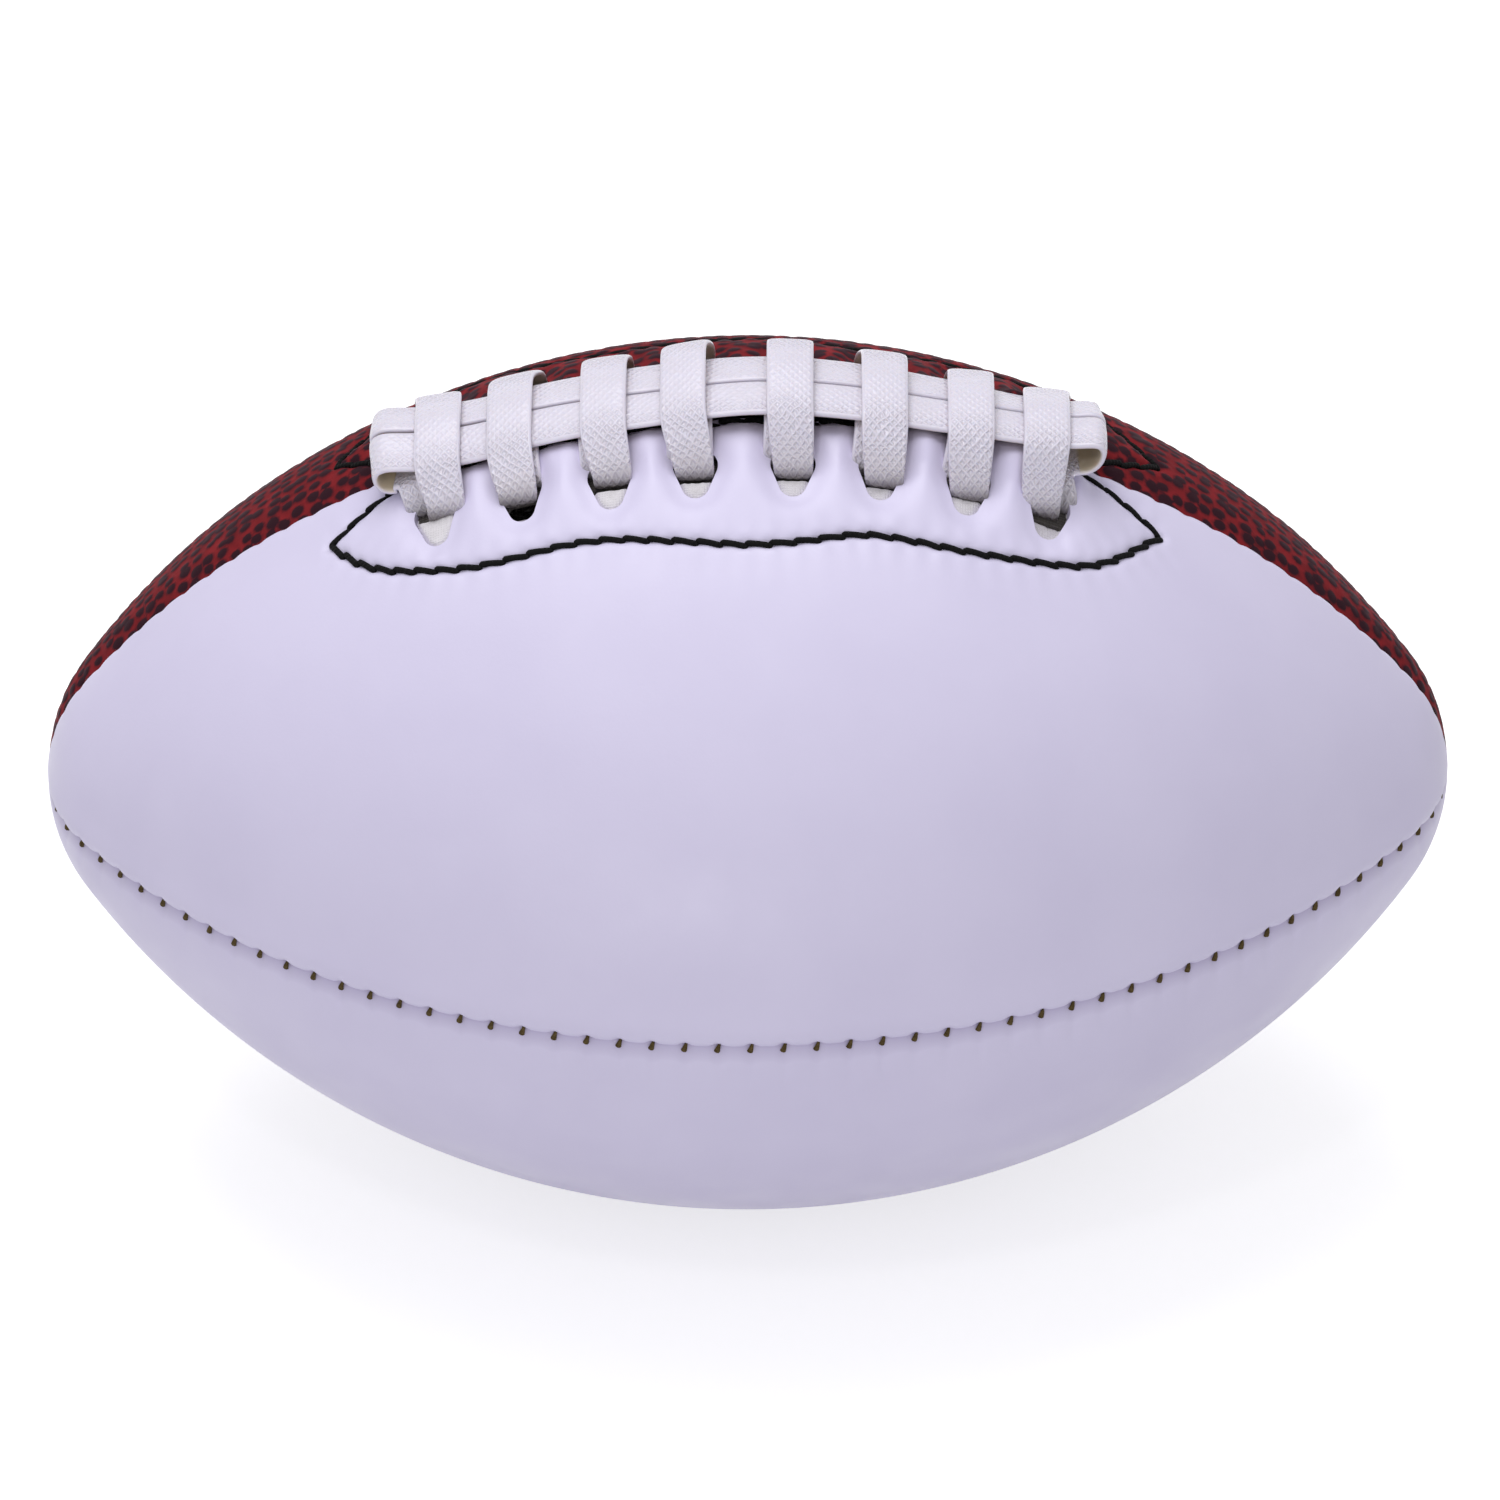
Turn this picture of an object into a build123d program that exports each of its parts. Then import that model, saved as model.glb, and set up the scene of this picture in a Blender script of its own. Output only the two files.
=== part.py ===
"""An american football: four sewn panels, their linings, a laced opening and an inflated bladder.

The ball lies on its belly with the lacing on top. X runs from nose to nose, Y from front to back,
Z is up, and the origin is the lowest point of the belly. All sizes are in millimetres.
"""

from build123d import *
from math import acos, atan2, cos, degrees, radians, sin, sqrt, tan
import os

os.makedirs("parts", exist_ok=True)

# Driving dimensions of the ball and its layers
BALL_LENGTH = 275.0
BALL_DIAMETER = 173.0
TIP_RADIUS = 37.0
PANEL_THICKNESS = 2.0
LINING_THICKNESS = 0.7
FACING_THICKNESS = 0.9
BLADDER_WALL = 1.2
LAYER_GAP = 0.1

# Seams: the panel edges roll inwards, and a thread bridges them at every stitch
SEAM_ROUND = 3.0
SEAM_DEPTH = 1.5
SEAM_STITCH_PITCH = 6.6
SEAM_STITCH_DEPTH = 0.35
SEAM_STITCH_LENGTH = 1.1
SEAM_THREAD = 0.7
SEAM_NOSE_MARGIN = 6.0

# The raised pad round the lacing, and the slit that the lace closes
PAD_RAISE = 1.2
PAD_HALF_WIDTH = 29.0
PAD_LEVEL_LENGTH = 124.0
PAD_LENGTH = 158.0
SLIT_LENGTH = 132.0
SLIT_GAP = 2.4

# The lace and its holes
LACE_WIDTH = 10.0
LACE_THICKNESS = 2.0
LACE_NECK = 5.6
LACE_GAP = 0.25
LACE_BEND = 2.4
LACE_SLOPE = 29.0
LACE_HIP = 0.6
LACE_CREST = 0.75
NECK_START = 12.5
NECK_END = 17.0
STRIP_WIDTH = 9.6
STRIP_SPLIT = 0.3
HOLE_COUNT = 8
HOLE_PITCH = 17.4
HOLE_ROW = 19.8
HOLE_CLEARANCE = 0.35
HOLE_CORNER = 1.1
LOOP_REACH = 11.0
LOOP_DIP = 1.2
LOOP_OPENING = 2.0
LOOP_BEND = 1.7

# The stitched reinforcement round the holes
STITCH_TIP_X = 80.0
STITCH_TIP_Y = 11.0
STITCH_SHOULDER_X = 65.0
STITCH_SHOULDER_Y = 25.0
STITCH_WAIST_X = 30.0
STITCH_WAIST_Y = 30.3
STITCH_BELLY_Y = 33.3
STITCH_INNER_X = 66.0
STITCH_INNER_Y = 3.4
STITCH_COUNT = 72
STITCH_THREAD = 0.9
STITCH_NEEDLE_GAP = 0.8
STITCH_CLEARANCE = 0.15
FACING_MARGIN = 2.5

# The pad that keeps the lace off the bladder
GUARD_THICKNESS = 1.2
GUARD_LENGTH = 140.0
GUARD_WIDTH = 48.0
GUARD_CORNER = 12.0
BED_RUNOUT = 30.0

# The valve
VALVE_ANGLE = 225.0
VALVE_NECK_RADIUS = 3.1
VALVE_FLANGE_RADIUS = 12.0
VALVE_FLANGE_THICKNESS = 1.2
VALVE_STEM_RADIUS = 4.6
VALVE_LENGTH = 12.0
VALVE_RECESS = 0.4
VALVE_CLEARANCE = 0.15
CORE_RADIUS = 2.0
CORE_HEAD_RADIUS = 3.2
CORE_HEAD_HEIGHT = 2.5
CORE_CLEARANCE = 0.05
NEEDLE_RADIUS = 0.95
NEEDLE_DEPTH = 8.0

# Outline of the ball: a belly arc that runs smoothly into a smaller arc at each nose
RADIUS = BALL_DIAMETER / 2
HALF_LENGTH = BALL_LENGTH / 2
TIP_CENTRE = HALF_LENGTH - TIP_RADIUS
BELLY_RADIUS = (HALF_LENGTH**2 - 2 * HALF_LENGTH * TIP_RADIUS + RADIUS**2) / (2 * (RADIUS - TIP_RADIUS))
BELLY_DROP = BELLY_RADIUS - RADIUS
TIP_TURN = degrees(atan2(BELLY_DROP, TIP_CENTRE))

# The pad's surface turns about its own axis, higher than the ball's, so it dies out at its width
PAD_TOP = RADIUS + PAD_RAISE
PAD_AXIS = (PAD_TOP**2 - RADIUS**2) / (2 * (PAD_TOP - sqrt(RADIUS**2 - PAD_HALF_WIDTH**2)))
PAD_BELLY_RADIUS = BELLY_RADIUS + PAD_RAISE

# Depth of each layer below the skin
LINING_INSET = PANEL_THICKNESS + LAYER_GAP
FACING_INSET = LINING_INSET + LINING_THICKNESS + LAYER_GAP
SHELL_INSET = FACING_INSET + FACING_THICKNESS
BLADDER_INSET = LINING_INSET + LINING_THICKNESS + LAYER_GAP

# Heights of the lace's layers above the pad, at the middle of each strip's thickness
UNDER_LEVEL = STITCH_THREAD + STITCH_CLEARANCE + LACE_GAP + LACE_THICKNESS / 2
STRIP_LEVEL = UNDER_LEVEL + LACE_THICKNESS + LACE_GAP
OVER_LEVEL = STRIP_LEVEL + LACE_THICKNESS + LACE_GAP
LEG_SHIFT = (LACE_THICKNESS + LACE_GAP) / 2
UNDER_ROW = HOLE_ROW - LEG_SHIFT
OVER_ROW = HOLE_ROW + LEG_SHIFT
OVER_CREST = STRIP_SPLIT / 2 + STRIP_WIDTH + LACE_CREST
OVER_HIP = OVER_LEVEL - (OVER_ROW - OVER_CREST) * tan(radians(LACE_SLOPE))

# The ball's own axes stand one radius above the origin
CENTRE = Vector(0, 0, RADIUS)
BELLY_CENTRE = CENTRE - Vector(0, 0, BELLY_DROP)
LENGTH_AXIS = Axis(CENTRE, (1, 0, 0))
PAD_TURN_AXIS = Axis(CENTRE + Vector(0, 0, PAD_AXIS), (1, 0, 0))
SIDE = Plane(CENTRE, x_dir=(1, 0, 0), z_dir=(0, -1, 0))
PLAN = Plane(CENTRE, x_dir=(1, 0, 0), z_dir=(0, 0, 1))


def ball_radius(x):
    """Radius of the skin at a station along the ball."""
    reach = abs(x)
    if reach <= BELLY_RADIUS * cos(radians(TIP_TURN)):
        return sqrt(BELLY_RADIUS**2 - reach**2) - BELLY_DROP
    return sqrt(max(0.0, TIP_RADIUS**2 - (reach - TIP_CENTRE) ** 2))


def pad_height(x, inset=0.0):
    """Height of the pad's crest above the ball's centre at a station along the ball."""
    level = PAD_LEVEL_LENGTH / 2
    belly = PAD_BELLY_RADIUS - inset
    if abs(x) <= level:
        return sqrt(belly**2 - x**2) - BELLY_DROP
    shoulder = sqrt(belly**2 - level**2) - BELLY_DROP
    end = ball_radius(PAD_LENGTH / 2) - inset
    share = (abs(x) - level) / (PAD_LENGTH / 2 - level)
    return shoulder + share * (end - shoulder)


def skin_height(x, y):
    """Height of the skin above the ball's centre at a place in plan, on the upper half."""
    height = sqrt(ball_radius(x) ** 2 - y**2)
    pad = pad_height(x) - PAD_AXIS
    if abs(x) < PAD_LENGTH / 2 and abs(y) < pad:
        height = max(height, PAD_AXIS + sqrt(pad**2 - y**2))
    return height


def seam_plane(angle, rise=0.0):
    """Plane through the length axis at an angle from the top towards the front."""
    a = radians(angle)
    return Plane(CENTRE + Vector(0, 0, rise), x_dir=(1, 0, 0), z_dir=(0, -cos(a), -sin(a)))


def ball_outline(angle, inset):
    """Half of the ball's outline in a seam plane, nose to nose, closed along the length axis."""
    tip = TIP_RADIUS - inset
    with BuildSketch(seam_plane(angle)) as half:
        with BuildLine():
            CenterArc((TIP_CENTRE, 0), tip, 0, TIP_TURN)
            CenterArc((0, -BELLY_DROP), BELLY_RADIUS - inset, TIP_TURN, 180 - 2 * TIP_TURN)
            CenterArc((-TIP_CENTRE, 0), tip, 180 - TIP_TURN, TIP_TURN)
            Line((-TIP_CENTRE - tip, 0), (TIP_CENTRE + tip, 0))
        make_face()
    return half.sketch


def pad_outline(angle, inset):
    """Half of the pad's outline in a plane through the pad's axis."""
    level = PAD_LEVEL_LENGTH / 2
    end = PAD_LENGTH / 2 + SEAM_ROUND
    crest = [(x, pad_height(x, inset) - PAD_AXIS) for x in (-end, -level, 0, level, end)]
    with BuildSketch(seam_plane(angle, PAD_AXIS)) as half:
        with BuildLine():
            Polyline(crest[1], crest[0], (-end, 0), (end, 0), crest[4], crest[3])
            ThreePointArc(crest[1], crest[2], crest[3])
        make_face()
    return half.sketch


def station_angle(number):
    """Turn of a row of lace holes about the belly's centre, for holes numbered from the left."""
    return (number - (HOLE_COUNT + 1) / 2) * HOLE_PITCH / PAD_BELLY_RADIUS


def station(number):
    """Place on the pad's crest at a row of lace holes, Z square to the pad."""
    a = station_angle(number)
    out = Vector(sin(a), 0, cos(a))
    return Plane(BELLY_CENTRE + out * PAD_BELLY_RADIUS, x_dir=(cos(a), 0, -sin(a)), z_dir=out)


def across(number):
    """Plane across the ball at a row of lace holes: X to the back, Y out of the pad."""
    spot = station(number)
    return Plane(spot.origin, x_dir=(0, 1, 0), z_dir=spot.x_dir)


def along(number):
    """Plane along the seam at a row of lace holes: X to the right, Y out of the pad."""
    spot = station(number)
    return Plane(spot.origin, x_dir=spot.x_dir, z_dir=(0, -1, 0))


# Depths inside the ball at the lacing: two lace layers, the guard and the flattened bladder
END_ANGLE = station_angle(HOLE_COUNT)
END_X = PAD_BELLY_RADIUS * sin(END_ANGLE)
END_ROUND = (pad_height(END_X) - PAD_AXIS) / cos(END_ANGLE) - SHELL_INSET
INNER_DEPTH = SHELL_INSET + END_ROUND - sqrt(END_ROUND**2 - HOLE_ROW**2) + LACE_GAP
UPPER_LAYER = INNER_DEPTH + LACE_THICKNESS / 2
LOWER_LAYER = UPPER_LAYER + LACE_THICKNESS + LACE_GAP
GUARD_DEPTH = LOWER_LAYER + LACE_THICKNESS / 2 + LACE_GAP
BED_DEPTH = GUARD_DEPTH + GUARD_THICKNESS + LAYER_GAP
HOLE_WIDTH = LACE_NECK + 2 * HOLE_CLEARANCE
HOLE_LENGTH = 2 * LACE_THICKNESS + LACE_GAP + 2 * HOLE_CLEARANCE


# Tool for the seams: a cusp between two rolled panel edges, carried right round the ball
CUSP_LIFT = 0.15
CUSP_REACH = 3.0
CUSP_TURN = degrees(acos((SEAM_ROUND - CUSP_LIFT - SEAM_DEPTH) / SEAM_ROUND))
CUSP_HALF = SEAM_ROUND * sin(radians(CUSP_TURN))
with BuildPart() as seam_tool:
    with BuildLine(SIDE) as meridian:
        CenterArc((0, -BELLY_DROP), BELLY_RADIUS, TIP_TURN, 180 - 2 * TIP_TURN)
        CenterArc((-TIP_CENTRE, 0), TIP_RADIUS, 180 - TIP_TURN, 2 * TIP_TURN)
        CenterArc((0, BELLY_DROP), BELLY_RADIUS, 180 + TIP_TURN, 180 - 2 * TIP_TURN)
        CenterArc((TIP_CENTRE, 0), TIP_RADIUS, -TIP_TURN, 2 * TIP_TURN)
    start = meridian.wire() @ 0
    outward = start - BELLY_CENTRE
    with BuildSketch(Plane(start, x_dir=(0, 1, 0), z_dir=Vector(0, 1, 0).cross(outward))):
        with BuildLine():
            CenterArc((-CUSP_HALF, CUSP_LIFT - SEAM_ROUND), SEAM_ROUND, 90, -CUSP_TURN)
            CenterArc((CUSP_HALF, CUSP_LIFT - SEAM_ROUND), SEAM_ROUND, 90, CUSP_TURN)
            Polyline(
                (-CUSP_HALF, CUSP_LIFT),
                (-CUSP_HALF, CUSP_REACH),
                (CUSP_HALF, CUSP_REACH),
                (CUSP_HALF, CUSP_LIFT),
            )
        make_face()
    sweep(path=meridian.wire())


def fill_upper(angle, inset, mode=Mode.ADD):
    """Quarter of the ball with its half of the raised pad, measured inset below the skin."""
    revolve(ball_outline(angle, inset), axis=LENGTH_AXIS, revolution_arc=90, mode=mode)
    revolve(pad_outline(angle, inset), axis=PAD_TURN_AXIS, revolution_arc=90, mode=mode)


def fill_lower(angle, inset, mode=Mode.ADD):
    """Quarter of the ball without the pad, measured inset below the skin."""
    revolve(ball_outline(angle, inset), axis=LENGTH_AXIS, revolution_arc=90, mode=mode)


def cut_seams():
    """Roll in the panel edges along all four seams."""
    add(seam_tool.part, mode=Mode.SUBTRACT)
    add(seam_tool.part.rotate(LENGTH_AXIS, 90), mode=Mode.SUBTRACT)


def cut_slit():
    """Open the slit between the two laced panels."""
    with BuildSketch(PLAN) as slit:
        Rectangle(SLIT_LENGTH, SLIT_GAP)
    extrude(slit.sketch, amount=PAD_TOP + CUSP_REACH, mode=Mode.SUBTRACT)


def cut_lace_holes():
    """Punch the two rows of lace holes square to the pad."""
    for number in range(1, HOLE_COUNT + 1):
        with BuildSketch(station(number)) as pair:
            with Locations((0, -HOLE_ROW), (0, HOLE_ROW)):
                RectangleRounded(HOLE_WIDTH, HOLE_LENGTH, HOLE_CORNER)
        extrude(pair.sketch, amount=BED_DEPTH, both=True, mode=Mode.SUBTRACT)


VALVE = Plane(
    CENTRE + Vector(0, -sin(radians(VALVE_ANGLE)), cos(radians(VALVE_ANGLE))) * RADIUS,
    x_dir=(1, 0, 0),
    z_dir=(0, -sin(radians(VALVE_ANGLE)), cos(radians(VALVE_ANGLE))),
)


def cut_valve_hole():
    """Hole for the valve's neck, from the skin inwards."""
    with BuildSketch(VALVE) as hole:
        Circle(VALVE_NECK_RADIUS + VALVE_CLEARANCE)
    extrude(hole.sketch, amount=VALVE_LENGTH, both=True, mode=Mode.SUBTRACT)


# Four panels: two laced ones on top, two plain ones below
with BuildPart() as panel_front:
    fill_upper(0, 0)
    fill_upper(0, PANEL_THICKNESS, Mode.SUBTRACT)
    cut_seams()
    cut_slit()
    cut_lace_holes()
panel_front.part.label = "panel_front"
export_step(panel_front.part, "parts/panel_front.step")

with BuildPart() as panel_rear:
    mirror(panel_front.part, about=SIDE)
panel_rear.part.label = "panel_rear"
export_step(panel_rear.part, "parts/panel_rear.step")

with BuildPart() as panel_front_lower:
    fill_lower(90, 0)
    fill_lower(90, PANEL_THICKNESS, Mode.SUBTRACT)
    cut_seams()
panel_front_lower.part.label = "panel_front_lower"
export_step(panel_front_lower.part, "parts/panel_front_lower.step")

with BuildPart() as panel_rear_lower:
    fill_lower(180, 0)
    fill_lower(180, PANEL_THICKNESS, Mode.SUBTRACT)
    cut_seams()
    cut_valve_hole()
panel_rear_lower.part.label = "panel_rear_lower"
export_step(panel_rear_lower.part, "parts/panel_rear_lower.step")

# A cloth lining behind each panel
with BuildPart() as lining_front:
    fill_upper(0, LINING_INSET)
    fill_upper(0, LINING_INSET + LINING_THICKNESS, Mode.SUBTRACT)
    cut_slit()
    cut_lace_holes()
lining_front.part.label = "lining_front"
export_step(lining_front.part, "parts/lining_front.step")

with BuildPart() as lining_rear:
    mirror(lining_front.part, about=SIDE)
lining_rear.part.label = "lining_rear"
export_step(lining_rear.part, "parts/lining_rear.step")

with BuildPart() as lining_front_lower:
    fill_lower(90, LINING_INSET)
    fill_lower(90, LINING_INSET + LINING_THICKNESS, Mode.SUBTRACT)
lining_front_lower.part.label = "lining_front_lower"
export_step(lining_front_lower.part, "parts/lining_front_lower.step")

with BuildPart() as lining_rear_lower:
    fill_lower(180, LINING_INSET)
    fill_lower(180, LINING_INSET + LINING_THICKNESS, Mode.SUBTRACT)
    cut_valve_hole()
lining_rear_lower.part.label = "lining_rear_lower"
export_step(lining_rear_lower.part, "parts/lining_rear_lower.step")

# The reinforcement round the lace holes, and the thread that sews it to panel and lining
def eye_lines(margin):
    """Plan of the stitching on the front panel, a long eye with a wavy lower side, plus a margin."""
    tip = (STITCH_TIP_X + margin, -STITCH_TIP_Y)
    shoulder = (STITCH_SHOULDER_X + margin, -STITCH_SHOULDER_Y - margin)
    waist = (STITCH_WAIST_X, -STITCH_WAIST_Y - margin)
    inner = (STITCH_INNER_X, margin - STITCH_INNER_Y)
    left = [(-x, y) for x, y in (tip, shoulder, waist, inner)]
    with BuildLine(PLAN) as eye:
        Spline(left[0], left[1], left[2], (0, -STITCH_BELLY_Y - margin), waist, shoulder, tip)
        Polyline(tip, inner, left[3], left[0])
    return eye.wire()


STITCH_PATH = eye_lines(0)
with BuildSketch(PLAN) as facing_plan:
    make_face(eye_lines(FACING_MARGIN).edges())

with BuildPart() as lace_facing_front:
    fill_upper(0, FACING_INSET)
    fill_upper(0, SHELL_INSET, Mode.SUBTRACT)
    extrude(facing_plan.sketch, amount=PAD_TOP, mode=Mode.INTERSECT)
    cut_slit()
    cut_lace_holes()
lace_facing_front.part.label = "lace_facing_front"
export_step(lace_facing_front.part, "parts/lace_facing_front.step")

with BuildPart() as lace_facing_rear:
    mirror(lace_facing_front.part, about=SIDE)
lace_facing_rear.part.label = "lace_facing_rear"
export_step(lace_facing_rear.part, "parts/lace_facing_rear.step")


def needle_hole(share):
    """Place where the thread dips into the panel, with the thread lying on the skin."""
    spot = STITCH_PATH.position_at(share * STITCH_PATH.length, PositionMode.LENGTH)
    height = skin_height(spot.X, spot.Y)
    slope_x = skin_height(spot.X + LAYER_GAP, spot.Y) - height
    slope_y = skin_height(spot.X, spot.Y + LAYER_GAP) - height
    steep = sqrt(LAYER_GAP**2 + slope_x**2 + slope_y**2) / LAYER_GAP
    return CENTRE + Vector(spot.X, spot.Y, height + (STITCH_THREAD / 2 + STITCH_CLEARANCE) * steep)


with BuildPart() as facing_stitches_front:
    holes = [needle_hole(number / STITCH_COUNT) for number in range(STITCH_COUNT)]
    for number in range(STITCH_COUNT):
        step = holes[(number + 1) % STITCH_COUNT] - holes[number]
        with Locations(Plane(holes[number] + step / 2, z_dir=step)):
            Cylinder(STITCH_THREAD / 2, step.length - STITCH_NEEDLE_GAP)
facing_stitches_front.part.label = "facing_stitches_front"
export_step(facing_stitches_front.part, "parts/facing_stitches_front.step")

with BuildPart() as facing_stitches_rear:
    mirror(facing_stitches_front.part, about=SIDE)
facing_stitches_rear.part.label = "facing_stitches_rear"
export_step(facing_stitches_rear.part, "parts/facing_stitches_rear.step")

# Seam stitches: short threads across each seam, at an even pitch from the middle to the noses
BELLY_SPAN = BELLY_RADIUS * radians(90 - TIP_TURN)
TIP_SPAN = TIP_RADIUS * radians(TIP_TURN)


def seam_spot(distance):
    """Place of a stitch just below the outline, at a distance along it from the ball's middle."""
    sign = 1 if distance >= 0 else -1
    if abs(distance) <= BELLY_SPAN:
        turn = abs(distance) / BELLY_RADIUS
        sunk = BELLY_RADIUS - SEAM_STITCH_DEPTH
        return sign * sunk * sin(turn), sunk * cos(turn) - BELLY_DROP
    turn = radians(TIP_TURN) - (abs(distance) - BELLY_SPAN) / TIP_RADIUS
    sunk = TIP_RADIUS - SEAM_STITCH_DEPTH
    return sign * (TIP_CENTRE + sunk * cos(turn)), sunk * sin(turn)


def seam_spots(bare):
    """Stitch places along one seam, outside the bare length at its middle."""
    last = int((BELLY_SPAN + TIP_SPAN - SEAM_NOSE_MARGIN) / SEAM_STITCH_PITCH)
    spots = [seam_spot(number * SEAM_STITCH_PITCH) for number in range(-last, last + 1)]
    return [spot for spot in spots if abs(spot[0]) >= bare]


with BuildPart() as seam_stitches_top:
    with BuildSketch(seam_plane(0)):
        with Locations(*seam_spots(SLIT_LENGTH / 2 + SEAM_STITCH_PITCH)):
            Circle(SEAM_THREAD / 2)
    extrude(amount=SEAM_STITCH_LENGTH / 2, both=True)
seam_stitches_top.part.label = "seam_stitches_top"
export_step(seam_stitches_top.part, "parts/seam_stitches_top.step")

with BuildPart() as seam_stitches_front:
    with BuildSketch(seam_plane(90)):
        with Locations(*seam_spots(0)):
            Circle(SEAM_THREAD / 2)
    extrude(amount=SEAM_STITCH_LENGTH / 2, both=True)
seam_stitches_front.part.label = "seam_stitches_front"
export_step(seam_stitches_front.part, "parts/seam_stitches_front.step")

with BuildPart() as seam_stitches_bottom:
    with BuildSketch(seam_plane(180)):
        with Locations(*seam_spots(0)):
            Circle(SEAM_THREAD / 2)
    extrude(amount=SEAM_STITCH_LENGTH / 2, both=True)
seam_stitches_bottom.part.label = "seam_stitches_bottom"
export_step(seam_stitches_bottom.part, "parts/seam_stitches_bottom.step")

with BuildPart() as seam_stitches_rear:
    with BuildSketch(seam_plane(270)):
        with Locations(*seam_spots(0)):
            Circle(SEAM_THREAD / 2)
    extrude(amount=SEAM_STITCH_LENGTH / 2, both=True)
seam_stitches_rear.part.label = "seam_stitches_rear"
export_step(seam_stitches_rear.part, "parts/seam_stitches_rear.step")

# One lace closes the slit. It crosses from hole to hole under the two long strips, runs out and
# back as those strips with a loop at each end, and crosses again over them. Inside the ball both
# sets of crossings join hole to hole along the same slanted lines, one layer above the other.
MIDDLE = (HOLE_COUNT + 1) / 2
BELLY_AXIS = Axis(BELLY_CENTRE, (0, 1, 0))


def crossing_plan():
    """Plan of a crossing: full width in the middle, gathered to the neck at both holes."""
    half, neck, far = LACE_WIDTH / 2, LACE_NECK / 2, HOLE_ROW + LACE_WIDTH
    with BuildSketch(station(MIDDLE)) as plan:
        with BuildLine():
            Polyline(
                (half, NECK_START),
                (neck, NECK_END),
                (neck, far),
                (-neck, far),
                (-neck, NECK_END),
                (-half, NECK_START),
                (-half, -NECK_START),
                (-neck, -NECK_END),
                (-neck, -far),
                (neck, -far),
                (neck, -NECK_END),
                (half, -NECK_START),
                close=True,
            )
        make_face()
    return plan.sketch


with BuildPart() as over_crossing:
    with BuildSketch(across(MIDDLE)):
        with BuildLine():
            FilletPolyline(
                (-OVER_ROW, -LOWER_LAYER - LACE_THICKNESS / 2),
                (-OVER_ROW, OVER_HIP),
                (-OVER_CREST, OVER_LEVEL),
                (OVER_CREST, OVER_LEVEL),
                (OVER_ROW, OVER_HIP),
                (OVER_ROW, -LOWER_LAYER - LACE_THICKNESS / 2),
                radius=LACE_BEND,
            )
        trace(line_width=LACE_THICKNESS)
    extrude(amount=LACE_WIDTH, both=True)
    extrude(crossing_plan(), amount=BED_DEPTH + OVER_LEVEL, both=True, mode=Mode.INTERSECT)

with BuildPart() as under_crossing:
    with BuildSketch(across(MIDDLE)):
        with BuildLine():
            FilletPolyline(
                (-UNDER_ROW, -UPPER_LAYER - LACE_THICKNESS / 2),
                (-UNDER_ROW, -LACE_HIP),
                (-STRIP_WIDTH, UNDER_LEVEL),
                (STRIP_WIDTH, UNDER_LEVEL),
                (UNDER_ROW, -LACE_HIP),
                (UNDER_ROW, -UPPER_LAYER - LACE_THICKNESS / 2),
                radius=LACE_BEND,
            )
        trace(line_width=LACE_THICKNESS)
    extrude(amount=LACE_WIDTH, both=True)
    extrude(crossing_plan(), amount=BED_DEPTH + OVER_LEVEL, both=True, mode=Mode.INTERSECT)

# At the end holes the under crossing is parted, and each half carries one strip's loop
with BuildPart() as parted_crossing:
    add(under_crossing.part)
    with BuildSketch(station(MIDDLE)):
        Rectangle(2 * LACE_WIDTH, STRIP_SPLIT)
    extrude(amount=OVER_LEVEL, both=True, mode=Mode.SUBTRACT)

with BuildPart() as long_strips:
    for near in (STRIP_SPLIT / 2, -STRIP_SPLIT / 2 - STRIP_WIDTH):
        with BuildSketch(SIDE.offset(near)):
            with BuildLine():
                CenterArc(
                    (0, -BELLY_DROP),
                    PAD_BELLY_RADIUS + STRIP_LEVEL,
                    90 - degrees(END_ANGLE),
                    2 * degrees(END_ANGLE),
                )
            trace(line_width=LACE_THICKNESS)
        extrude(amount=STRIP_WIDTH)
        for number, reach in ((1, -LOOP_REACH), (HOLE_COUNT, LOOP_REACH)):
            low = UNDER_LEVEL - LOOP_DIP
            with BuildSketch(along(number).offset(near)):
                with BuildLine():
                    FilletPolyline(
                        (0, STRIP_LEVEL),
                        (reach, low + LACE_THICKNESS + LOOP_OPENING),
                        (reach, low),
                        (0, UNDER_LEVEL),
                        radius=LOOP_BEND,
                    )
                trace(line_width=LACE_THICKNESS)
            extrude(amount=STRIP_WIDTH)


def inner_pass(number, front, back, row, depth):
    """Flat pass inside the ball from a front hole to a back hole, given by their shift in X."""
    edge, neck = row + LACE_THICKNESS / 2, LACE_NECK / 2
    with BuildSketch(station(number).offset(-depth - LACE_THICKNESS / 2)) as plan:
        with BuildLine():
            Polyline(
                (front - neck, -edge),
                (front + neck, -edge),
                (back + neck, edge),
                (back - neck, edge),
                close=True,
            )
        make_face()
    extrude(plan.sketch, amount=LACE_THICKNESS)


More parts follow.
